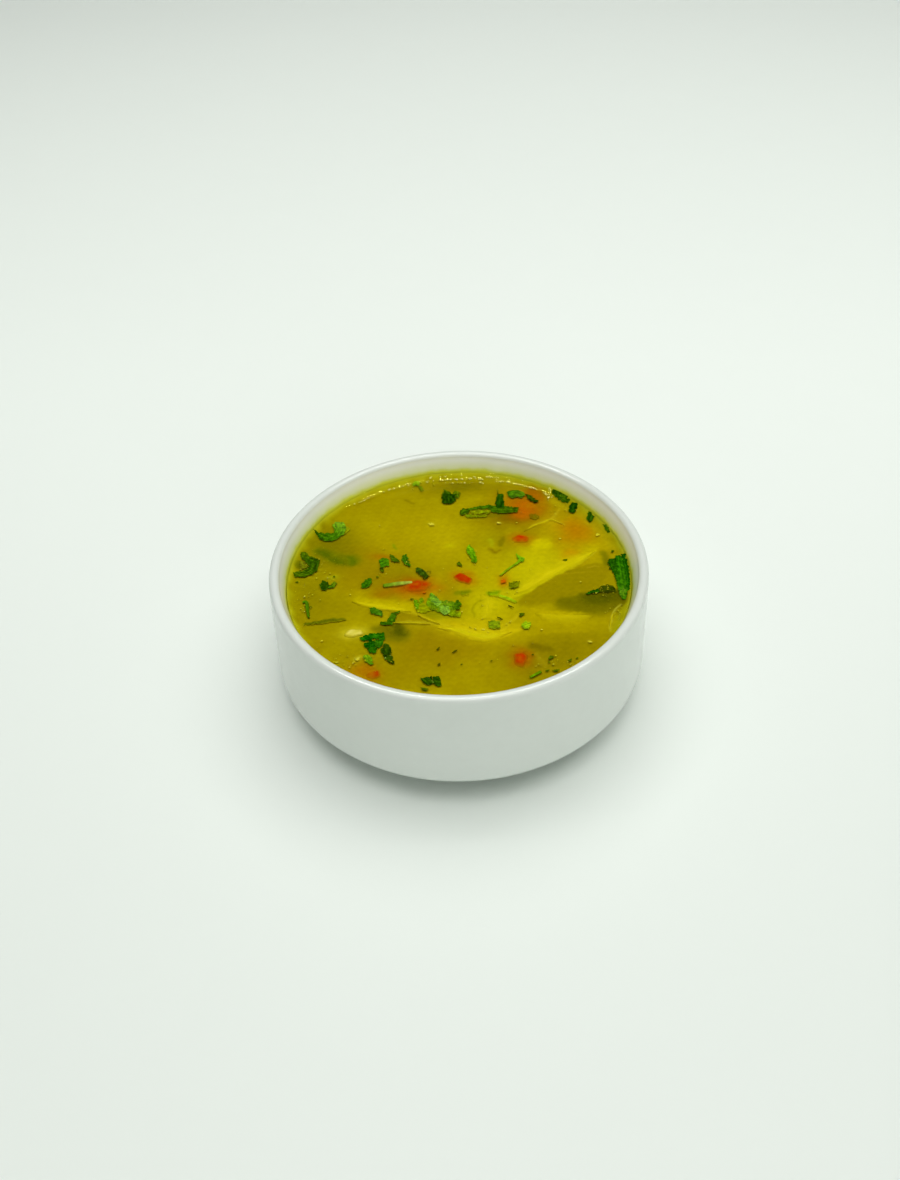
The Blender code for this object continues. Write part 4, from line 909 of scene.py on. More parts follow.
# Node, and its blades: cuts across the blade as (x, y) of one edge and of the other, colour at
# the first cut and at the last, lift over the surface
LEAVES = (
    ("leaf_crescent",
     (((-56.3, 30.9, -56.1, 30.6), (-54.1, 30, -54.8, 28.6), (-52.1, 30.2, -53.2, 26.2),
      (-50.1, 30.2, -51, 25.2), (-48.4, 29.9, -48.4, 25.5), (-48.2, 31.3, -46.2, 27.1)),
      (42, 80, 0), (62, 112, 2), 0),
     (((-48.3, 30.6, -46, 27.2), (-48.5, 33, -44.2, 29.5), (-49.1, 35, -43.6, 33.3),
      (-47.7, 36.6, -44.6, 36.3)), (66, 114, 4), (112, 152, 26), 0.1),
     (((-44.8, 28.8, -43.4, 30), (-43.8, 31.6, -42.2, 32), (-43.4, 34.2, -42.6, 34)),
      (132, 158, 8), (140, 162, 8), -0.25)),
    ("leaf_curl",
     (((-60.4, 18.2, -58.6, 18.6), (-60.4, 15.6, -57, 16.6), (-59, 13.8, -55, 15.8),
      (-57.8, 12.4, -53.2, 14.4)), (72, 96, 0), (44, 78, 0), -0.02),
     (((-57.6, 12.4, -53, 14.2), (-57, 10.4, -53.2, 11.2), (-57.6, 9, -53.8, 8),
      (-58.6, 8.2, -55.6, 5.8)), (42, 74, 0), (54, 84, 0), 0.04),
     (((-58.4, 8.3, -55.6, 6), (-60.4, 7.6, -58.8, 4.5), (-62.6, 6.6, -62.1, 4.2)), (52, 84, 0),
      (68, 92, 0), 0.04),
     (((-60.6, 13.2, -59.6, 13.8), (-60.2, 10.6, -57.6, 12.2), (-59.4, 9.2, -57.6, 9.8)),
      (118, 118, 20), (104, 112, 8), -0.2)),
    ("leaf_left_small",
     (((-52.4, 0.4, -51.6, -2.6), (-51.2, 2.4, -49.8, -3.2), (-49.4, 1.6, -48.4, -1.2)),
      (44, 82, 0), (32, 60, 0), 0),
     (((-49.4, -1.6, -48.2, -2.4), (-48, 0.2, -46.4, -1.6), (-46.8, 1.6, -45.6, 0.4)), (52, 96, 2),
      (102, 120, 6), 0.05)),
    ("leaf_pair",
     (((-30.4, 13.2, -29.4, 8.4), (-28.2, 14.2, -27.6, 9.2), (-26.4, 13.4, -26.2, 9.2)),
      (56, 112, 4), (70, 122, 2), 0),
     (((-26.2, 16.2, -25.4, 11.8), (-24.2, 14.8, -23.6, 11.4), (-22.6, 12.4, -22.2, 11.4)),
      (74, 98, 2), (52, 88, 0), 0.04),
     (((-29.8, 8.4, -28.6, 8.8), (-29.4, 6.4, -28.2, 7)), (46, 68, 0), (56, 76, 0), 0)),
    ("leaf_strip_left",
     (((-21.2, 15, -19.8, 16), (-21.4, 12.4, -19, 13.2), (-20.4, 10, -18.4, 10.2),
      (-19, 8.8, -17.9, 8.2)), (58, 108, 4), (48, 92, 2), 0)),
    ("leaf_chip_left",
     (((-36.6, -2.4, -35.2, -2.8), (-36.2, 0.2, -33.4, -1.8), (-34.8, 2, -32.6, 0),
      (-33.6, 3, -32.6, 2.2)), (44, 96, 0), (52, 100, 2), 0)),
    ("leaf_dark_middle",
     (((-16.3, 7.4, -15.2, 7.8), (-15.7, 4.4, -13, 6.2), (-13.8, 2.6, -11.8, 4.2),
      (-12.4, 0.8, -11.4, 1.6)), (52, 78, 8), (44, 64, 0), 0),
     (((-12.6, 3.2, -11.8, 6), (-11, 2.6, -10.2, 5.8)), (104, 104, 14), (116, 108, 10), -0.2)),
    ("leaf_middle",
     (((-11.8, -9.4, -12.4, -13.4), (-10.2, -9, -10.8, -15.4), (-7.8, -10.8, -8.6, -16.8),
      (-5.8, -11.8, -6.8, -17.8)), (98, 134, 4), (88, 126, 8), -0.12),
     (((-7.2, -11.4, -7.6, -14.4), (-5, -11, -4.8, -15.8), (-2.6, -12, -2.6, -16.6),
      (-0.8, -12.6, -1.2, -16.6)), (110, 144, 12), (82, 120, 4), -0.06),
     (((-17, -10.2, -15.4, -10.6), (-16.9, -12.6, -15, -12.6), (-16.3, -15.4, -15.2, -15.2)),
      (104, 150, 0), (94, 142, 0), 0),
     (((-15.4, -10.9, -14.6, -12.4), (-14.6, -9.7, -13.6, -11.9), (-13.6, -9.4, -13, -10.9)),
      (108, 148, 0), (108, 142, 0), -0.08),
     (((-16.6, -12.2, -15.6, -16.8), (-13.8, -11.8, -13.2, -17.2), (-11.2, -12.4, -11, -16.2)),
      (132, 154, 0), (124, 146, 0), -0.28),
     # the next two blades are pale strips on the folds: painted highlights
     (((-10.9, -7.2, -10.3, -6.9), (-11.2, -9.4, -8.9, -8.5), (-10.2, -12, -7.5, -10.5),
      (-8.4, -14.5, -6.8, -12.8)), (88, 134, 12), (116, 158, 44), 0.1),
     (((-7.7, -14.5, -6.2, -13.8), (-7.4, -16.6, -4.3, -14.7), (-6.4, -18.5, -3.7, -16.6),
      (-5.3, -19.1, -4.1, -18.2)), (112, 154, 36), (118, 158, 44), 0.12),
     (((-0.9, -11.2, -0.5, -11.3), (-1.9, -12.6, 0.3, -12.7), (-2.1, -14.6, 0.4, -14.3),
      (-1.8, -16.3, -0.6, -16.4)), (52, 92, 0), (64, 100, 0), 0.1),
     (((-4.2, -16.4, -4.6, -18.8), (-2, -16.8, -2.2, -20), (0.2, -17.6, 0, -20)), (92, 128, 0),
      (118, 142, 0), -0.12)),
    ("leaf_front_light",
     (((-34.8, -37.8, -33, -37.6), (-34.8, -39.8, -31.8, -39), (-33.2, -41.6, -31.2, -41),
      (-32.2, -42.8, -31.2, -42.4)), (112, 148, 8), (82, 126, 6), 0)),
    ("leaf_front",
     (((-14.8, -49.8, -14, -51.8), (-12.6, -49.4, -12, -53.4), (-10.8, -49.3, -10.5, -52.4)),
      (44, 78, 0), (32, 64, 0), 0),
     (((-10.7, -49.4, -10.2, -52.6), (-8.4, -49.2, -9.2, -54), (-7.9, -50.6, -7.5, -53.6)),
      (30, 60, 0), (42, 80, 0), 0.05),
     # this thin pale strip is a painted highlight
     (((-12.4, -49.6, -11.9, -49.4), (-11, -51.4, -10.6, -51), (-10.6, -52.6, -10.2, -52.2)),
      (88, 114, 40), (70, 94, 20), 0.1)),
    ("leaf_wall_back",
     (((-17.4, 58.2, -14.6, 58.2), (-17.4, 59.4, -13.9, 59.5), (-16.5, 60.5, -14.2, 60.6)),
      (108, 142, 8), (120, 154, 8), 0),
     (((-14.9, 58, -13.2, 58.1), (-14.4, 56.6, -12.6, 56.4), (-13.8, 54.9, -13.2, 54.7)),
      (78, 106, 0), (102, 116, 0), -0.1)),
    ("leaf_back",
     (((-4.9, 46.3, -1.2, 45.9), (-5.4, 48.3, 0.2, 47.9), (-5.3, 50.7, 0.6, 50.3),
      (-4.9, 52.6, 0.9, 52)), (32, 64, 0), (26, 60, 0), 0),
     (((-5, 52.2, -1.4, 51.8), (-4.6, 53.8, -1.2, 53.4), (-4.2, 55.5, -3, 54.6)), (40, 74, 0),
      (68, 92, 0), 0),
     (((-1, 50.8, 1.4, 49.4), (-0.8, 53, 2.2, 51.4), (0.4, 54.6, 2.4, 53.4)), (60, 94, 0),
      (96, 114, 0), -0.08)),
    ("leaf_back_bright",
     (((21.4, 52.3, 21.8, 49.5), (23, 53.4, 23.4, 48), (24.8, 53.2, 25.2, 48.9),
      (26.4, 53.2, 27.2, 48), (28.6, 51, 28.8, 50)), (60, 106, 6), (76, 114, 8), 0)),
    ("leaf_wall_right_a",
     (((39.3, 49.8, 41, 50.4), (40.4, 47.5, 42.8, 48.4), (41.8, 45.7, 44.3, 46.6),
      (43.3, 43.8, 45.6, 44.9), (45.2, 42.5, 46.5, 43.4)), (38, 74, 0), (52, 88, 0), 0),
     (((42.2, 46.8, 43.4, 47.4), (43.6, 44.9, 44.8, 45.6)), (66, 106, 2), (74, 110, 2), 0.1)),
    ("leaf_wall_right_b",
     (((46.7, 42.4, 49, 41), (45.7, 40.6, 48.8, 39.4), (45.1, 38, 47.9, 37.8),
      (46.3, 36.9, 47.3, 36.8)), (26, 68, 0), (20, 62, 0), 0)),
    ("leaf_round",
     (((21.6, -25.8, 22.4, -27.6), (22.8, -24, 23.4, -27.8), (25.4, -24.2, 24.8, -26.8)),
      (126, 160, 8), (150, 178, 10), 0)),
    ("leaf_square",
     (((10, -23, 10, -26.6), (12, -22.8, 12, -27), (14.2, -23.1, 14.1, -26.8)), (108, 132, 6),
      (126, 142, 6), 0)),
    ("leaf_olive",
     (((18.6, -3.2, 18.8, -6), (20.4, -2.4, 20.6, -6.2), (22.8, -2, 22.2, -5)), (100, 108, 0),
      (116, 122, 0), 0.05)),
    ("leaf_on_carrot",
     (((28.9, 50.2, 31, 49.3), (29.8, 47, 32.3, 47.3), (32.2, 44.5, 34, 45)), (52, 74, 0),
      (38, 62, 0), 0.1)),
    ("leaf_by_carrot",
     (((29.4, 37.6, 29.6, 34.8), (31.4, 38, 31.6, 34.2), (33.4, 36.6, 33.2, 35.2)), (82, 92, 0),
      (98, 104, 0), -0.3)),
    ("leaf_wall_right_c",
     (((52.8, 35.9, 53.6, 34.8), (52.4, 34.6, 54.8, 32.3), (51.7, 32.6, 54.3, 31.5),
      (52.5, 30.5, 53.4, 30.5)), (46, 88, 0), (32, 72, 0), 0)),
    ("leaf_wall_right_d",
     (((57.4, 27.4, 58.7, 26.1), (57.9, 25.1, 59.5, 23.5), (58.7, 22.6, 59.6, 22.2)), (70, 106, 0),
      (58, 96, 0), 0)),
    ("leaf_fan",
     (((60.2, 9.7, 61.9, 9.2), (59.2, 6, 62.7, 5.2), (58.7, 1, 63, 0), (58.6, -4, 62.9, -5),
      (58.8, -8.6, 62.2, -9.4), (59.2, -12.4, 61.3, -13.2), (59.4, -14.6, 60.5, -15.2)),
      (34, 98, 0), (60, 112, 4), 0.05),
     (((62.2, 9.6, 63.6, 8.6), (62.2, 4.6, 63.9, 2.6), (62.2, 0, 63.7, -2), (61.8, -5, 63.3, -6.6),
      (61.4, -10, 62.4, -11.2)), (22, 84, 0), (32, 90, 0), 0.1),
     (((57.6, 8.2, 60.6, 8), (56.9, 6.4, 60.6, 4.4), (57.3, 3.4, 60, 1.4), (58.2, 0, 59.4, -2),
      (58.6, -4.2, 59.4, -5.2)), (24, 72, 0), (36, 88, 0), 0.1),
     (((58.9, -8.4, 61.5, -9), (58.9, -11, 61.5, -11.6), (59.5, -13.6, 60.9, -13.8)),
      (92, 134, 22), (70, 116, 6), 0.09),
     # this thin pale strip on the middle rib is a painted highlight
     (((60.5, 6.4, 61, 6.4), (60.3, 1.6, 61.3, 1.6), (60.9, -1.6, 61.2, -1.6)), (54, 118, 4),
      (76, 130, 16), 0.13)),
    ("leaf_right_dark",
     (((46.4, -10.4, 46.6, -10.8), (49, -9, 49.4, -10.4), (51.2, -8, 51.8, -9.9)), (18, 74, 0),
      (30, 78, 0), 0.05),
     (((51.4, -7.6, 51.8, -9.8), (53.2, -6.2, 53.8, -10), (55, -5.8, 55.9, -9.8),
      (57.3, -6.9, 57.9, -10)), (56, 70, 0), (46, 60, 0), -0.1)),
    ("leaf_block_left",
     (((-33.3, -13.8, -32.6, -16.8), (-31, -13.8, -30.6, -17.6), (-28.4, -15.8, -28.2, -18.4)),
      (56, 104, 2), (68, 112, 12), 0.1)),
    ("leaf_fork",
     (((-29.2, -21.4, -29, -22.6), (-26.8, -21.2, -25.2, -22.9), (-26.2, -19.6, -23.8, -21.2)),
      (54, 92, 0), (44, 84, 0), 0.1),
     (((-26.4, -20.6, -23.9, -21.4), (-25.2, -17.2, -23.3, -18.4), (-24.2, -16.4, -22.8, -17),
      (-22, -16, -21.8, -16.4)), (64, 110, 4), (58, 90, 0), 0.14)),
    ("leaf_dark_front",
     (((-27.4, -32.4, -26.2, -32.6), (-28.6, -35.6, -25.2, -35), (-28, -38.2, -24.9, -37.8)),
      (48, 74, 0), (32, 60, 0), 0),
     (((-27.8, -38.4, -24.9, -38.2), (-26.8, -40.6, -24, -40.8), (-24.6, -42.5, -23.7, -42.4)),
      (38, 66, 0), (56, 72, 0), 0.05),
     # this thin pale strip is a painted highlight
     (((-27.3, -39.9, -27, -39.4), (-26, -39.4, -25.9, -38.9), (-24.9, -38.5, -24.8, -38.2)),
      (124, 150, 60), (110, 136, 50), 0.12)),
    ("stalk_back",
     (((1.6, 40.6, 2, 38.4), (3, 42.6, 3.4, 38.8), (5.2, 42.6, 5.6, 40)), (62, 92, 0), (52, 86, 0),
      0),
     (((5, 42.5, 5.2, 41.2), (9, 43.6, 9.2, 41.8), (13, 44.2, 13.2, 42.2), (15, 44.2, 15.4, 39.8)),
      (76, 108, 0), (46, 90, 0), 0.02),
     (((14.4, 43.6, 14.2, 39.8), (17.6, 43.2, 17, 38.8), (21.6, 42.8, 21.2, 38.6),
      (25.6, 41.8, 24.6, 38.6)), (58, 98, 0), (58, 84, 0), 0),
     (((3.4, 39.6, 4.6, 36.8), (7, 38.6, 7.6, 36.8), (12.6, 38.4, 12.4, 36.8)), (104, 130, 0),
      (114, 130, 0), -0.15),
     (((6, 41, 6.2, 39), (10, 41.6, 10.4, 38.8), (14.2, 40.8, 13.8, 39)), (128, 142, 4),
      (116, 134, 2), -0.1),
     (((16.4, 41.8, 19.7, 42.2), (16.4, 45.4, 19.7, 45.8), (17.1, 48.6, 20, 49.4),
      (17.5, 50.8, 19.8, 51.2)), (20, 64, 0), (40, 78, 0), 0.1),
     (((17.2, 48.6, 17.9, 48.8), (17.4, 51.6, 18, 51.8), (17.5, 54.2, 17.9, 54.2)), (72, 80, 0),
      (86, 90, 0), 0)),
    ("leaf_sprig",
     (((-36.4, -29, -35.8, -30.1), (-34, -27.6, -33, -30.4), (-31.8, -26.9, -31.4, -29.8)),
      (18, 96, 0), (12, 78, 0), 0),
     (((-31.9, -26.9, -31.6, -29.6), (-29.6, -27.3, -29.4, -30), (-27.6, -26.7, -27.2, -30.4)),
      (40, 106, 2), (26, 86, 0), 0.05),
     (((-34.8, -32, -34.2, -34), (-32.6, -31, -32, -34.6), (-30.9, -30.8, -30.6, -34.2)),
      (16, 80, 0), (12, 70, 0), 0),
     (((-30.8, -30.6, -30.8, -33.6), (-29.4, -30.2, -29.2, -34.4), (-27.6, -29.8, -28, -32.8)),
      (48, 104, 4), (36, 92, 2), 0.06),
     (((-33.6, -34.6, -32.4, -37), (-31.2, -34.2, -30.6, -36.8), (-29.4, -33.8, -29.8, -35)),
      (32, 88, 0), (28, 82, 0), 0.03),
     (((-33.4, -30.2, -32, -30), (-32.2, -32.4, -30.9, -32.2)), (12, 64, 0), (16, 74, 0), 0.08)),
)
SUNK_LEAVES = (
    (((43.4, -10.8, 42.8, -13.4), (47, -9.6, 47, -17.6), (52, -9.2, 52.6, -18.2),
     (57.4, -8.8, 58, -14)), (62, 70, 0), (50, 62, 0), -0.85),
    (((-54.4, 20.4, -53.2, 17.6), (-50.4, 20.6, -49.4, 14.4), (-46.4, 17.8, -47.2, 10.6),
     (-42.6, 16.2, -43.8, 9.8), (-38.8, 13.8, -40.2, 9.8)), (64, 84, 0), (60, 86, 0), -0.85),
    (((-26.8, -23.2, -26.2, -26.8), (-23.4, -24, -23, -29), (-18.8, -24.8, -19.6, -28.4)),
     (52, 66, 0), (66, 74, 0), -0.85),
    (((-57.2, -20.8, -56.8, -21.7), (-53.6, -19.6, -53.2, -21.1), (-49.8, -19.3, -49.8, -20.8),
     (-46, -18.4, -45.8, -20.1), (-41.8, -18.9, -41.6, -19.5)), (66, 80, 0), (88, 98, 2), -0.28),
    (((0.7, -6.2, 0.8, -8.9), (3.4, -6.1, 3.6, -8.5)), (96, 116, 0), (112, 130, 0), -0.5),
    (((10.8, -7, 11, -9.6), (14.6, -7.2, 14.4, -9.9)), (112, 148, 0), (126, 160, 0), -0.4),
)


def sheet_solid(name, top, rows, columns, colours):
    """Closed thin sheet from a grid of top points: the same grid lower by the thickness, and a
    wall round the edge."""
    low = top - np.array([0.0, 0.0, LEAF_THICKNESS])
    count = len(top)
    faces = grid_faces(rows, columns)
    rim = grid_rim(rows, columns)
    after = np.roll(rim, -1)
    wall = np.stack([rim, after, after + count, rim + count], axis=-1)
    blocks = [faces[:, ::-1], faces + count, wall]
    leftward = np.sum(top[rim, 0] * top[after, 1] - top[after, 0] * top[rim, 1])
    if leftward > 0.0:                    # its rows run the other way round: turn every face
        blocks = [block[:, ::-1] for block in blocks]
    return build_mesh(name, np.concatenate([top, low]), blocks,
                      np.concatenate([colours, colours]), sharp_degrees=70.0)


def cut_blade(name, cuts, colour, end_colour, lift, seed, crown_share=LEAF_CROWN, full=None):
    """One blade of a leaf, between its two cut edges.

    Each cut gives a point of either edge, and points between them are mixed evenly, so a row runs
    across the blade. Smooth noise along each edge nicks it. The blade crowns a little along its
    middle and ripples by slow sines. The ribs, a middle one and slanting ones, and the edge are
    paler, and blotches of smooth noise make it lighter and darker."""
    cuts = np.asarray(cuts, dtype=float)
    run = np.hypot(*np.diff(0.5 * (cuts[:, :2] + cuts[:, 2:]), axis=0).T)
    per_cut = np.maximum(np.ceil(run / 0.14).astype(int), 4)
    place = np.concatenate([k + np.arange(n) / n for k, n in enumerate(per_cut)]
                           + [[len(cuts) - 1.0]])
    edges = np.stack([np.interp(place, np.arange(len(cuts)), cuts[:, k]) for k in range(4)])
    middle = 0.5 * (edges[:2] + edges[2:])
    half = 0.5 * (edges[2:] - edges[:2])
    reach = np.concatenate([[0.0], np.cumsum(np.hypot(*np.diff(middle, axis=1)))])
    width = np.hypot(*half)[:, None]
    columns = 2 * int(np.clip(width.max() / 0.16, 5, 16)) + 1
    across = np.linspace(-1.0, 1.0, columns)[None, :]
    inward = 1.0 - np.abs(across)
    teeth = [ripple_field(reach, 0.0 * reach + 40.0 * side, 1.5, 17 * seed + side)
             + 0.7 * ripple_field(reach, 0.0 * reach + 40.0 * side, 0.7, 19 * seed + side)
             for side in (1, 2)]
    teeth = np.where(across < 0.0, teeth[0][:, None], teeth[1][:, None])
    nick = 1.0 + np.clip(LEAF_NICK / np.maximum(width, 0.4), 0.0, 0.35) * teeth
    x, y = middle[:, :, None] + half[:, :, None] * across * nick
    x = x + 0.12 * ripple_field(x, y, 1.8, 23 * seed)
    y = y + 0.12 * ripple_field(x, y, 1.8, 29 * seed)
    crown = crown_share * np.minimum(width, 2.0) * (1.0 - np.abs(across) ** 3) - 0.06
    ripple = 0.05 * ripple_field(x, y, 2.8, 3 * seed) + 0.03 * ripple_field(x, y, 1.3, 5 * seed)
    z = surface_height(x, y) + lift + crown + ripple
    share = np.clip(reach / max(reach[-1], 0.1), 0.0, 1.0)[:, None] * np.ones_like(x)
    tint = blend(evenly(colour, x.shape), end_colour, share)
    blotch = (ripple_field(0.5 * reach[:, None] + 0.0 * x, width * across, 1.5, 7 * seed)
              + 0.6 * ripple_field(x, y, 0.9, 11 * seed))
    slant = np.sin(2.0 * np.pi * (reach[:, None] / 1.3 - 0.8 * np.abs(across)) + seed)
    ribs = 0.4 * np.exp(-(across / 0.12) ** 2) + 0.16 * np.clip(slant, 0.0, 1.0) ** 4
    rim = np.exp(-(inward * width / 0.22) ** 2)
    tint = tint * (1.0 + 0.1 * blotch)[..., None]
    tint = tint + (ribs + 0.35 * rim + 0.42 * blotch)[..., None] * np.array([28.0, 32.0, 2.0])
    depth = surface_height(x, y) - z
    if lift < LEAF_DEEP:                  # it melts into the broth in patches and along its edge
        brink = np.minimum(inward * width, np.minimum(reach, reach[-1] - reach)[:, None])
        shown = np.clip(0.75 * brink + 0.55 * ripple_field(x, y, 2.2, 13 * seed), 0.0, 1.0)
        depth = depth + 1.2 * (1.0 - shown)
    tint = fogged(tint, x, y, depth, LEAF_FOG, full)
    top = np.stack([x, y, z], axis=-1)
    return sheet_solid(name, top.reshape(-1, 3), len(place), columns, tint.reshape(-1, 3))


def cut_blades(node, rows, first_seed, *sunk):
    """The blades of one node, a row each, every one with the next seed."""
    return [cut_blade(f"{node}_{index}", *row, first_seed + index, *sunk)
            for index, row in enumerate(rows)]


def join(pieces, name):
    """Several pieces of one kind as one object."""
    if len(pieces) > 1:
        with bpy.context.temp_override(active_object=pieces[0], object=pieces[0],
                                       selected_editable_objects=pieces, selected_objects=pieces):
            bpy.ops.object.join()
    pieces[0].name = name
    pieces[0].data.name = name
    return pieces[0]


leaf_finish = tinted_material("coriander_leaf", 0.22, 600.0, 2400.0, 1.3, 0.1)
seed = 2
for node, *blades in LEAVES:
    leaf = join(cut_blades(node, blades, seed), node + "_blade")
    seed += len(blades)
    leaf.data.materials.append(leaf_finish)
    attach(leaf, "root")
    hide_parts(node)
sunk_leaves = join(cut_blades("sunk", SUNK_LEAVES, seed, SUNK_CROWN, BODY_DEPTH), "sunk_leaves")
seed += len(SUNK_LEAVES)
sunk_leaves.data.materials.append(leaf_finish)
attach(sunk_leaves, "root")


# ------------------------------------------------------------------ coriander stalks
# Short lengths of coriander stalk, cut across: round, pale green to whitish, lightly ribbed. Some
# still carry a scrap of leaf.

STALK_STATIONS = 40
STALK_AROUND = 20

# Node, path, diameters, colour, tip colour, lift
STALKS = (
    ("stalk_pale", ((-28.4, -1.9), (-23, -1.1), (-17.4, -0.5)), (1.9, 2.3, 1.4), (90, 124, 8),
     (156, 168, 64), -0.25),
    ("stalk_left", ((-58, -9.6), (-56.8, -9.2), (-56.2, -11.4), (-55.8, -14.6), (-55.2, -17.9)),
     (0.9, 1.2, 1.4, 1.1, 0.8), (70, 112, 4), (66, 104, 0), 0),
    ("stalk_forked", ((15.6, 1.4), (19.4, 5.4), (22.2, 7.8), (23.6, 9.4)), (0.8, 0.9, 1.1, 1.3),
     (118, 144, 4), (106, 150, 6), -0.2),
    ("stalk_light", ((14.6, -9.4), (17.4, -11), (20.8, -13.4)), (1.8, 2, 1.6), (150, 178, 14),
     (134, 166, 4), -0.66),
    ("stalk_front", ((22.8, -51.6), (26.8, -49)), (1, 1.1), (98, 140, 0), (84, 122, 0), 0),
)
# Blades that belong to a stalk's node: cuts, colour at either end, lift
STALK_BLADES = (
    ("stalk_middle",
     (((3.6, 18.4, 5, 20), (3.6, 16, 6.4, 17), (4.6, 13.2, 7, 13.2), (5.6, 10, 7.6, 11.2),
      (6, 9.2, 6.8, 9.2)), (112, 164, 4), (72, 122, 0), 0)),
    ("stalk_forked",
     (((23, 9.6, 24.4, 8.6), (22.8, 11.4, 25.4, 10.4), (22.6, 13.8, 23.6, 12.2)), (100, 152, 8),
      (112, 164, 8), 0.05),
     (((24, 9.6, 25, 8.8), (24.4, 11.6, 25.6, 10.8)), (96, 150, 8), (104, 154, 8), 0.05)),
)


def stalk(name, path, diameters, colour, tip_colour, lift, seed):
    """Round stalk: a ribbed circle carried along the path, closed at its cut ends."""
    centre, direction, width, share = smooth_path(path, diameters, STALK_STATIONS)
    angle = 2.0 * np.pi * np.arange(STALK_AROUND) / STALK_AROUND
    ends = np.clip(np.minimum(share, 1.0 - share) * 40.0, 0.0, 1.0) ** 0.5
    radius = (0.5 * width * (0.6 + 0.4 * ends))[:, None] * (1.0 + 0.06 * np.cos(5.0 * angle))
    middle = surface_height(*centre.T) - 0.05 * width
    points = carried(centre, direction, radius * np.cos(angle),
                     middle[:, None] + lift + 0.8 * radius * np.sin(angle))
    x, y, z = points.T
    along = np.append(np.repeat(share, STALK_AROUND), [0.0, 1.0])
    top = np.append(np.tile(np.sin(angle), STALK_STATIONS), [0.0, 0.0])
    blotch = ripple_field(x, y, 2.2, seed)
    tint = blend(evenly(colour, x.shape), tip_colour, along)
    # Painted light and shade: the upper side of each stalk is lighter and its underside darker.
    tint = tint * (1.0 + 0.12 * blotch + 0.1 * top)[:, None]
    return build_mesh(name, points, tube_faces(STALK_STATIONS, STALK_AROUND),
                      fogged(tint, x, y, surface_height(x, y) - z, LEAF_FOG))


stalk_finish = tinted_material("coriander_stalk", 0.25, 400.0, 2000.0, 0.9, 0.1)
stalk_pieces = {node: [stalk(node + "_tube", *shape, index + 60)]
                for index, (node, *shape) in enumerate(STALKS)}
for node, *blades in STALK_BLADES:
    stalk_pieces.setdefault(node, []).extend(cut_blades(node, blades, seed))
    seed += len(blades)
for node, pieces in stalk_pieces.items():
    stem = join(pieces, node + "_stem")
    stem.data.materials.append(stalk_finish)
    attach(stem, "root")
    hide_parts(node)


# ------------------------------------------------------------------ flecks
# Crumbs that float among the rest: chopped herb and stem, a little pepper and pale scraps of meat
# and garlic. Each is a thin chip with a broken outline.

CHIP_RINGS = 4
CHIP_AROUND = 11

# Middle, (length, width), heading
HERB_FLECKS = (
    ((0.6, 8.8), (2.8, 1.6), -60), ((22.2, -20.2), (2.2, 1.6), 40),
    ((30.8, -42.4), (2.4, 1.4), 40), ((32, -48.8), (2.4, 1), 10), ((37.3, -44.1), (1.5, 1), 40),
    ((-13.4, -55), (2.6, 1.3), -20), ((56.2, 34.4), (1.1, 1.7), 10),
    ((-28.8, 6.6), (1.2, 1.6), 30), ((41, 8.8), (1.8, 1.2), 10), ((-30.6, 3.2), (1.1, 0.7), 0),
    ((-17.6, -9.8), (1.3, 0.7), 10), ((-0.4, -44), (0.9, 0.5), 30), ((30, -44.6), (0.8, 0.6), 0),
    ((-54.8, -12), (0.9, 0.6), 0), ((29, -48.6), (1.4, 0.8), 20), ((39.8, -43.2), (0.9, 0.6), 30),
    ((59.4, 12.4), (1.4, 1), 60), ((57.4, 3), (1.2, 0.9), 0), ((-60.8, 1.6), (1.1, 0.8), 20),
    ((-47, 4.4), (1, 0.8), 0), ((24.6, -40.6), (0.8, 0.6), 0),
)
STEM_FLECKS = (
    ((18.5, -15.8), (2.4, 0.6), -35), ((14.2, -21.8), (2.6, 0.6), -36),
    ((-2.6, -37.6), (2.4, 0.6), 35), ((-8.4, -36), (1.8, 0.7), 50),
    ((-8.2, -43.6), (1.4, 0.8), 60), ((10, -43), (1, 0.5), 20),
)
RED_FLECKS = (((16.6, -1.8), (2.4, 2), 70), ((-13, -6.4), (1.2, 0.8), 0))
PALE_FLECKS = (
    ((-36.7, -39.6), (1.8, 1.2), 50), ((-9.6, 33.3), (2, 1.7), 0), ((55, 22.8), (1.7, 1.5), 30),
    ((45.2, -35.5), (1.6, 0.9), -30), ((17, 32.6), (1.8, 1), -15), ((8, -27.2), (1.3, 0.8), 0),
    ((-44, -41), (1.2, 0.8), 0), ((40.2, 21.6), (1, 0.7), 0), ((-49.8, -30), (1, 0.7), 20),
    ((-10.8, 33.8), (0.8, 0.6), 0), ((24, 32.2), (0.8, 0.6), 0), ((-40.6, -6), (0.8, 0.6), 0),
    ((17.8, -23.8), (0.8, 0.5), 30), ((28.8, -28.4), (0.9, 0.6), 0), ((45.4, -3.8), (0.8, 0.6), 0),
    ((-38, -41), (1, 0.5), 30), ((-39.4, -43.6), (0.8, 0.5), 0), ((0.6, -17.6), (0.7, 0.5), 0),
)


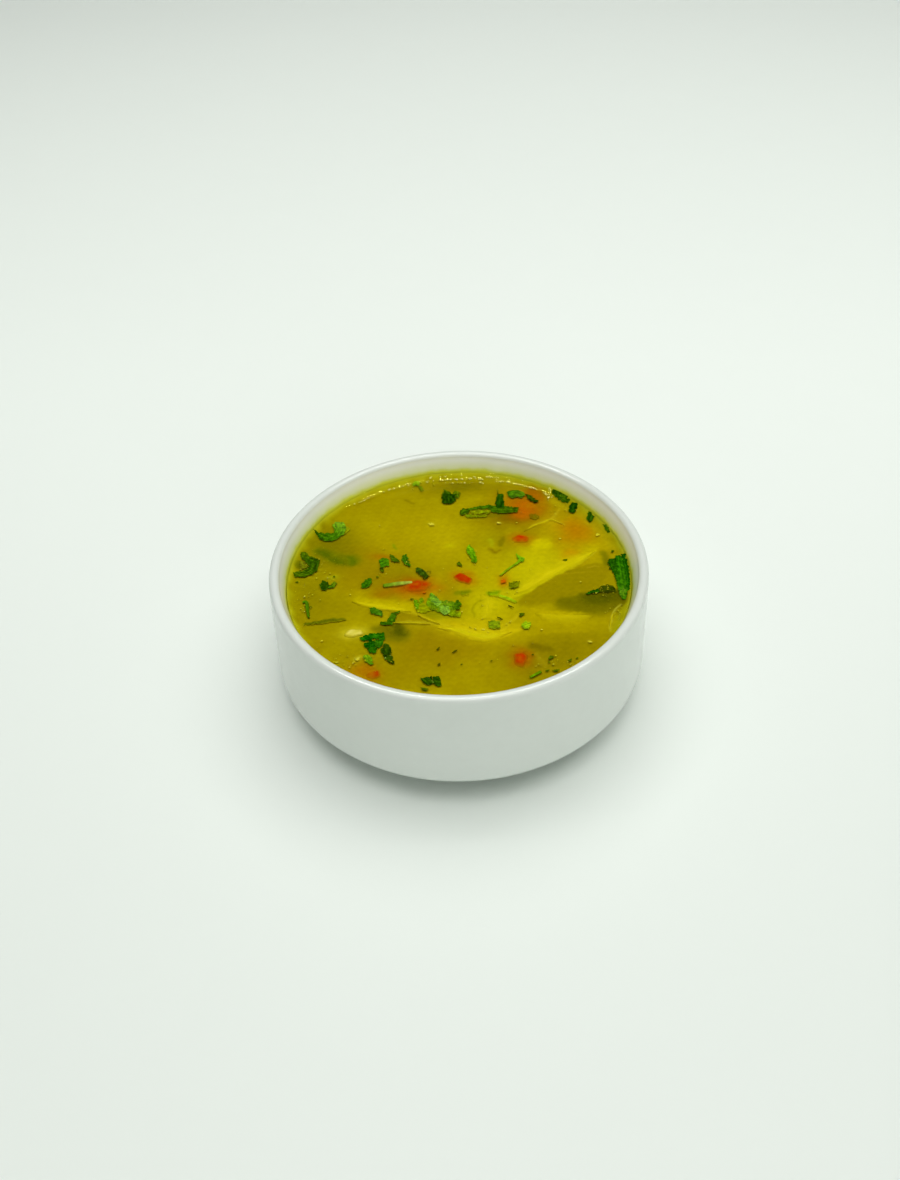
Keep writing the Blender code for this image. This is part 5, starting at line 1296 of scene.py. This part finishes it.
def chips(name, table, colour, other_colour, lift, seed):
    """Thin chips, all of one kind in one mesh: rings of points round a middle out to an outline
    whose radius is broken by three sines, domed on top and flat underneath."""
    table_rows = [(*middle, *size, math.radians(heading)) for middle, size, heading in table]
    middle_x, middle_y, length, width, heading = np.array(table_rows).T[:, :, None, None]
    phase = np.random.default_rng(seed).uniform(0.0, 2.0 * np.pi, middle_x.shape)
    angle = 2.0 * np.pi * np.arange(CHIP_AROUND) / CHIP_AROUND
    ring = np.linspace(0.1, 1.0, CHIP_RINGS)[:, None]
    broken = 1.0 + 0.2 * np.sin(3.0 * angle + phase) + 0.14 * np.sin(5.0 * angle + 2.0 * phase)
    x, y = turned_to(middle_x, middle_y, 0.5 * length * ring * broken * np.cos(angle),
                     0.5 * width * ring * broken * np.sin(angle), heading)
    upper = np.stack([x, y, surface_height(x, y) + lift + 0.12 * (1.0 - ring ** 2)], axis=-1)
    lower = upper - np.array([0.0, 0.0, 0.14])
    points = np.concatenate([upper, lower], axis=1).reshape(-1, 3)
    count = CHIP_RINGS * CHIP_AROUND
    number = np.arange(CHIP_AROUND)
    rim = count - CHIP_AROUND + number
    after = np.roll(rim, -1)
    sides = grid_faces(CHIP_RINGS, CHIP_AROUND, closed=True)
    wall = np.stack([rim, rim + count, after + count, after], axis=-1)
    start = (np.arange(len(table)) * 2 * count)[:, None, None]
    quads = np.concatenate([sides, sides[:, ::-1] + count, wall]) + start
    lids = [(cap + start).reshape(-1, CHIP_AROUND) for cap in (number[::-1], number + count)]
    mix = 0.5 + 0.5 * ripple_field(*points.T[:2], 2.0, seed)
    depth = surface_height(*points.T[:2]) - points[:, 2]
    tint = fogged(blend(evenly(colour, mix.shape), other_colour, mix), *points.T[:2], depth,
                  LEAF_FOG)
    return build_mesh(name, points, [quads.reshape(-1, 4)] + lids, tint)


for name, table, colour, other_colour, lift, finish, slot in (
        ("herb_flecks", HERB_FLECKS, (66, 82, 0), (94, 118, 0), -0.02, leaf_finish, "herb_leaf"),
        ("stem_flecks", STEM_FLECKS, (92, 84, 0), (74, 84, 0), 0.06, stalk_finish, "herb_stalk"),
        ("red_flecks", RED_FLECKS, (190, 80, 0), (196, 112, 0), -0.12, vegetable, "red_pepper"),
        ("pale_flecks", PALE_FLECKS, (192, 182, 26), (212, 203, 64), -0.06, meat, "chicken")):
    crumbs = chips(name, table, colour, other_colour, lift, len(name))
    crumbs.data.materials.append(finish)
    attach(crumbs, "root")


# ------------------------------------------------------------------ fat droplets and bubbles
# Chicken fat gathers in tiny flat drops, most of them near the wall, and a row of small bubbles
# clings where the broth starts to climb at the back. The bubbles are painted near white: a painted
# glint along the back.

DOME_RINGS = 4
DOME_AROUND = 9

DROPLET_FIELDS = (                        # middle, spread along x and y, how many
    ((-57, -10), (3, 9), 46), ((-52, 8), (6, 10), 44), ((53, -9), (4.4, 3), 26),
    ((56, -22), (3, 6), 30), ((30, -46), (9, 3), 34), ((-40, -40), (8, 5), 40),
    ((45, 40), (8, 8), 30), ((-10, 59), (26, 2), 36), ((0, 0), (34, 34), 110),
    ((8, -24), (8, 6), 24),
)
BUBBLE_ROWS = (                           # path, how many, spread across it
    (((-42.5, 45.7), (-38.5, 48.3), (-34, 51.3), (-30, 53.8), (-27, 55.7), (-24, 56.8),
     (-20.5, 57.9)), 26, 0.16),
    (((-20, 59.6), (-17.5, 58.7)), 4, 0.3),
    (((-12, 60.2), (-8, 60.9), (-4, 61.2), (0, 61.4), (4, 61.2), (8, 61.1), (12.5, 60.5)),
     34, 0.14),
    (((-10.4, 62.7), (-9.4, 62.2)), 4, 0.2),
    (((-5.5, 62.8), (-3, 62.9)), 5, 0.15),
    (((3.2, 63), (3.5, 61)), 6, 0.12),
    (((8.5, 62.2), (9, 61.8)), 3, 0.2),
    (((11, 62.2), (14, 61.5), (18.5, 60.4)), 10, 0.15),
    (((17, 58.9), (20, 58.4), (24, 57.1), (25.8, 56.4), (28, 55.2), (31, 53.5), (33, 52.7),
     (34.5, 51.7)), 34, 0.12),
    (((38.6, 50.8), (39, 49.9), (38.4, 48.9), (38.2, 47.5), (39.6, 47.4)), 16, 0.3),
    (((36, 50.2), (37.5, 47.9), (37.8, 45.3)), 8, 0.25),
    (((-4, 59.5), (4, 59.2), (12, 58.7)), 10, 0.15),
    (((22, 58.8), (24, 57.8), (28.5, 57.1)), 6, 0.3),
)


def domes(name, x, y, radius, flatness, colours):
    """Tiny drops standing on the surface: rings from the rim to the pole of a flattened ball,
    closed by a flat ring underneath."""
    tilt = np.linspace(0.0, 0.5 * np.pi, DOME_RINGS + 1)[:-1, None]
    angle = 2.0 * np.pi * np.arange(DOME_AROUND) / DOME_AROUND
    height = surface_height(x, y) - 0.03
    pole = np.stack([x, y, height + flatness * radius], axis=-1)
    x, y, radius, height = (value[:, None, None] for value in (x, y, radius, height))
    spread = radius * np.cos(tilt)
    rise = height + flatness * radius * np.sin(tilt)
    grid = np.stack([x + spread * np.cos(angle), y + spread * np.sin(angle),
                     rise * np.ones(DOME_AROUND)], axis=-1)
    points = np.concatenate([grid.reshape(len(x), -1, 3), pole[:, None]], axis=1).reshape(-1, 3)
    count = DOME_RINGS * DOME_AROUND + 1
    number = np.arange(DOME_AROUND)
    start = (np.arange(len(x)) * count)[:, None, None]
    quads = grid_faces(DOME_RINGS, DOME_AROUND, closed=True) + start
    tops = fan_faces(count - 1 - DOME_AROUND + number, count - 1)[:, (1, 2, 0)] + start
    under = (number[::-1] + start).reshape(-1, DOME_AROUND)
    return build_mesh(name, points, [quads.reshape(-1, 4), tops.reshape(-1, 3), under],
                      np.repeat(colours, count, axis=0), sharp_degrees=180.0)


draw = np.random.default_rng(29)
places = np.concatenate([np.asarray(middle) + draw.normal(size=(many, 2)) * np.asarray(spread) * 0.6
                         for middle, spread, many in DROPLET_FIELDS])
fat_x, fat_y = places[np.hypot(places[:, 0], places[:, 1]) < 62.6].T
fat_radius = 0.15 + 0.26 * draw.random(len(fat_x)) ** 3
fat_tint = blend(broth_colour(fat_x, fat_y), (204, 200, 30), 0.15 + 0.5 * draw.random(len(fat_x)))
droplets = domes("fat_droplets", fat_x, fat_y, fat_radius, 0.45, fat_tint)
droplets.data.materials.append(tinted_material("chicken_fat", 0.15, 900.0, 3000.0, 0.4, 0.05, 0.12))
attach(droplets, "root")

row_places = []
for path, many, spread in BUBBLE_ROWS:
    centre = smooth_path(path, np.zeros(len(path)), 200)[0]
    picked = centre[draw.integers(0, 200, many)]
    row_places.append(picked + spread * draw.normal(size=(many, 2)))
bubble_x, bubble_y = np.concatenate(row_places).T
bubble_radius = 0.16 + 0.28 * draw.random(len(bubble_x)) ** 2
# painted glint: the bubbles' colour is pushed towards pale yellow-white
bubble_painted_glint = blend(broth_colour(bubble_x, bubble_y), (254, 248, 130),
                    0.45 + 0.55 * draw.random(len(bubble_x)))
bubbles = domes("bubbles", bubble_x, bubble_y, bubble_radius, 0.9, bubble_painted_glint)
bubbles.data.materials.append(tinted_material("froth_painted_glint", 0.1, 900.0, 3000.0, 0.2, 0.0, 0.5))
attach(bubbles, "root")
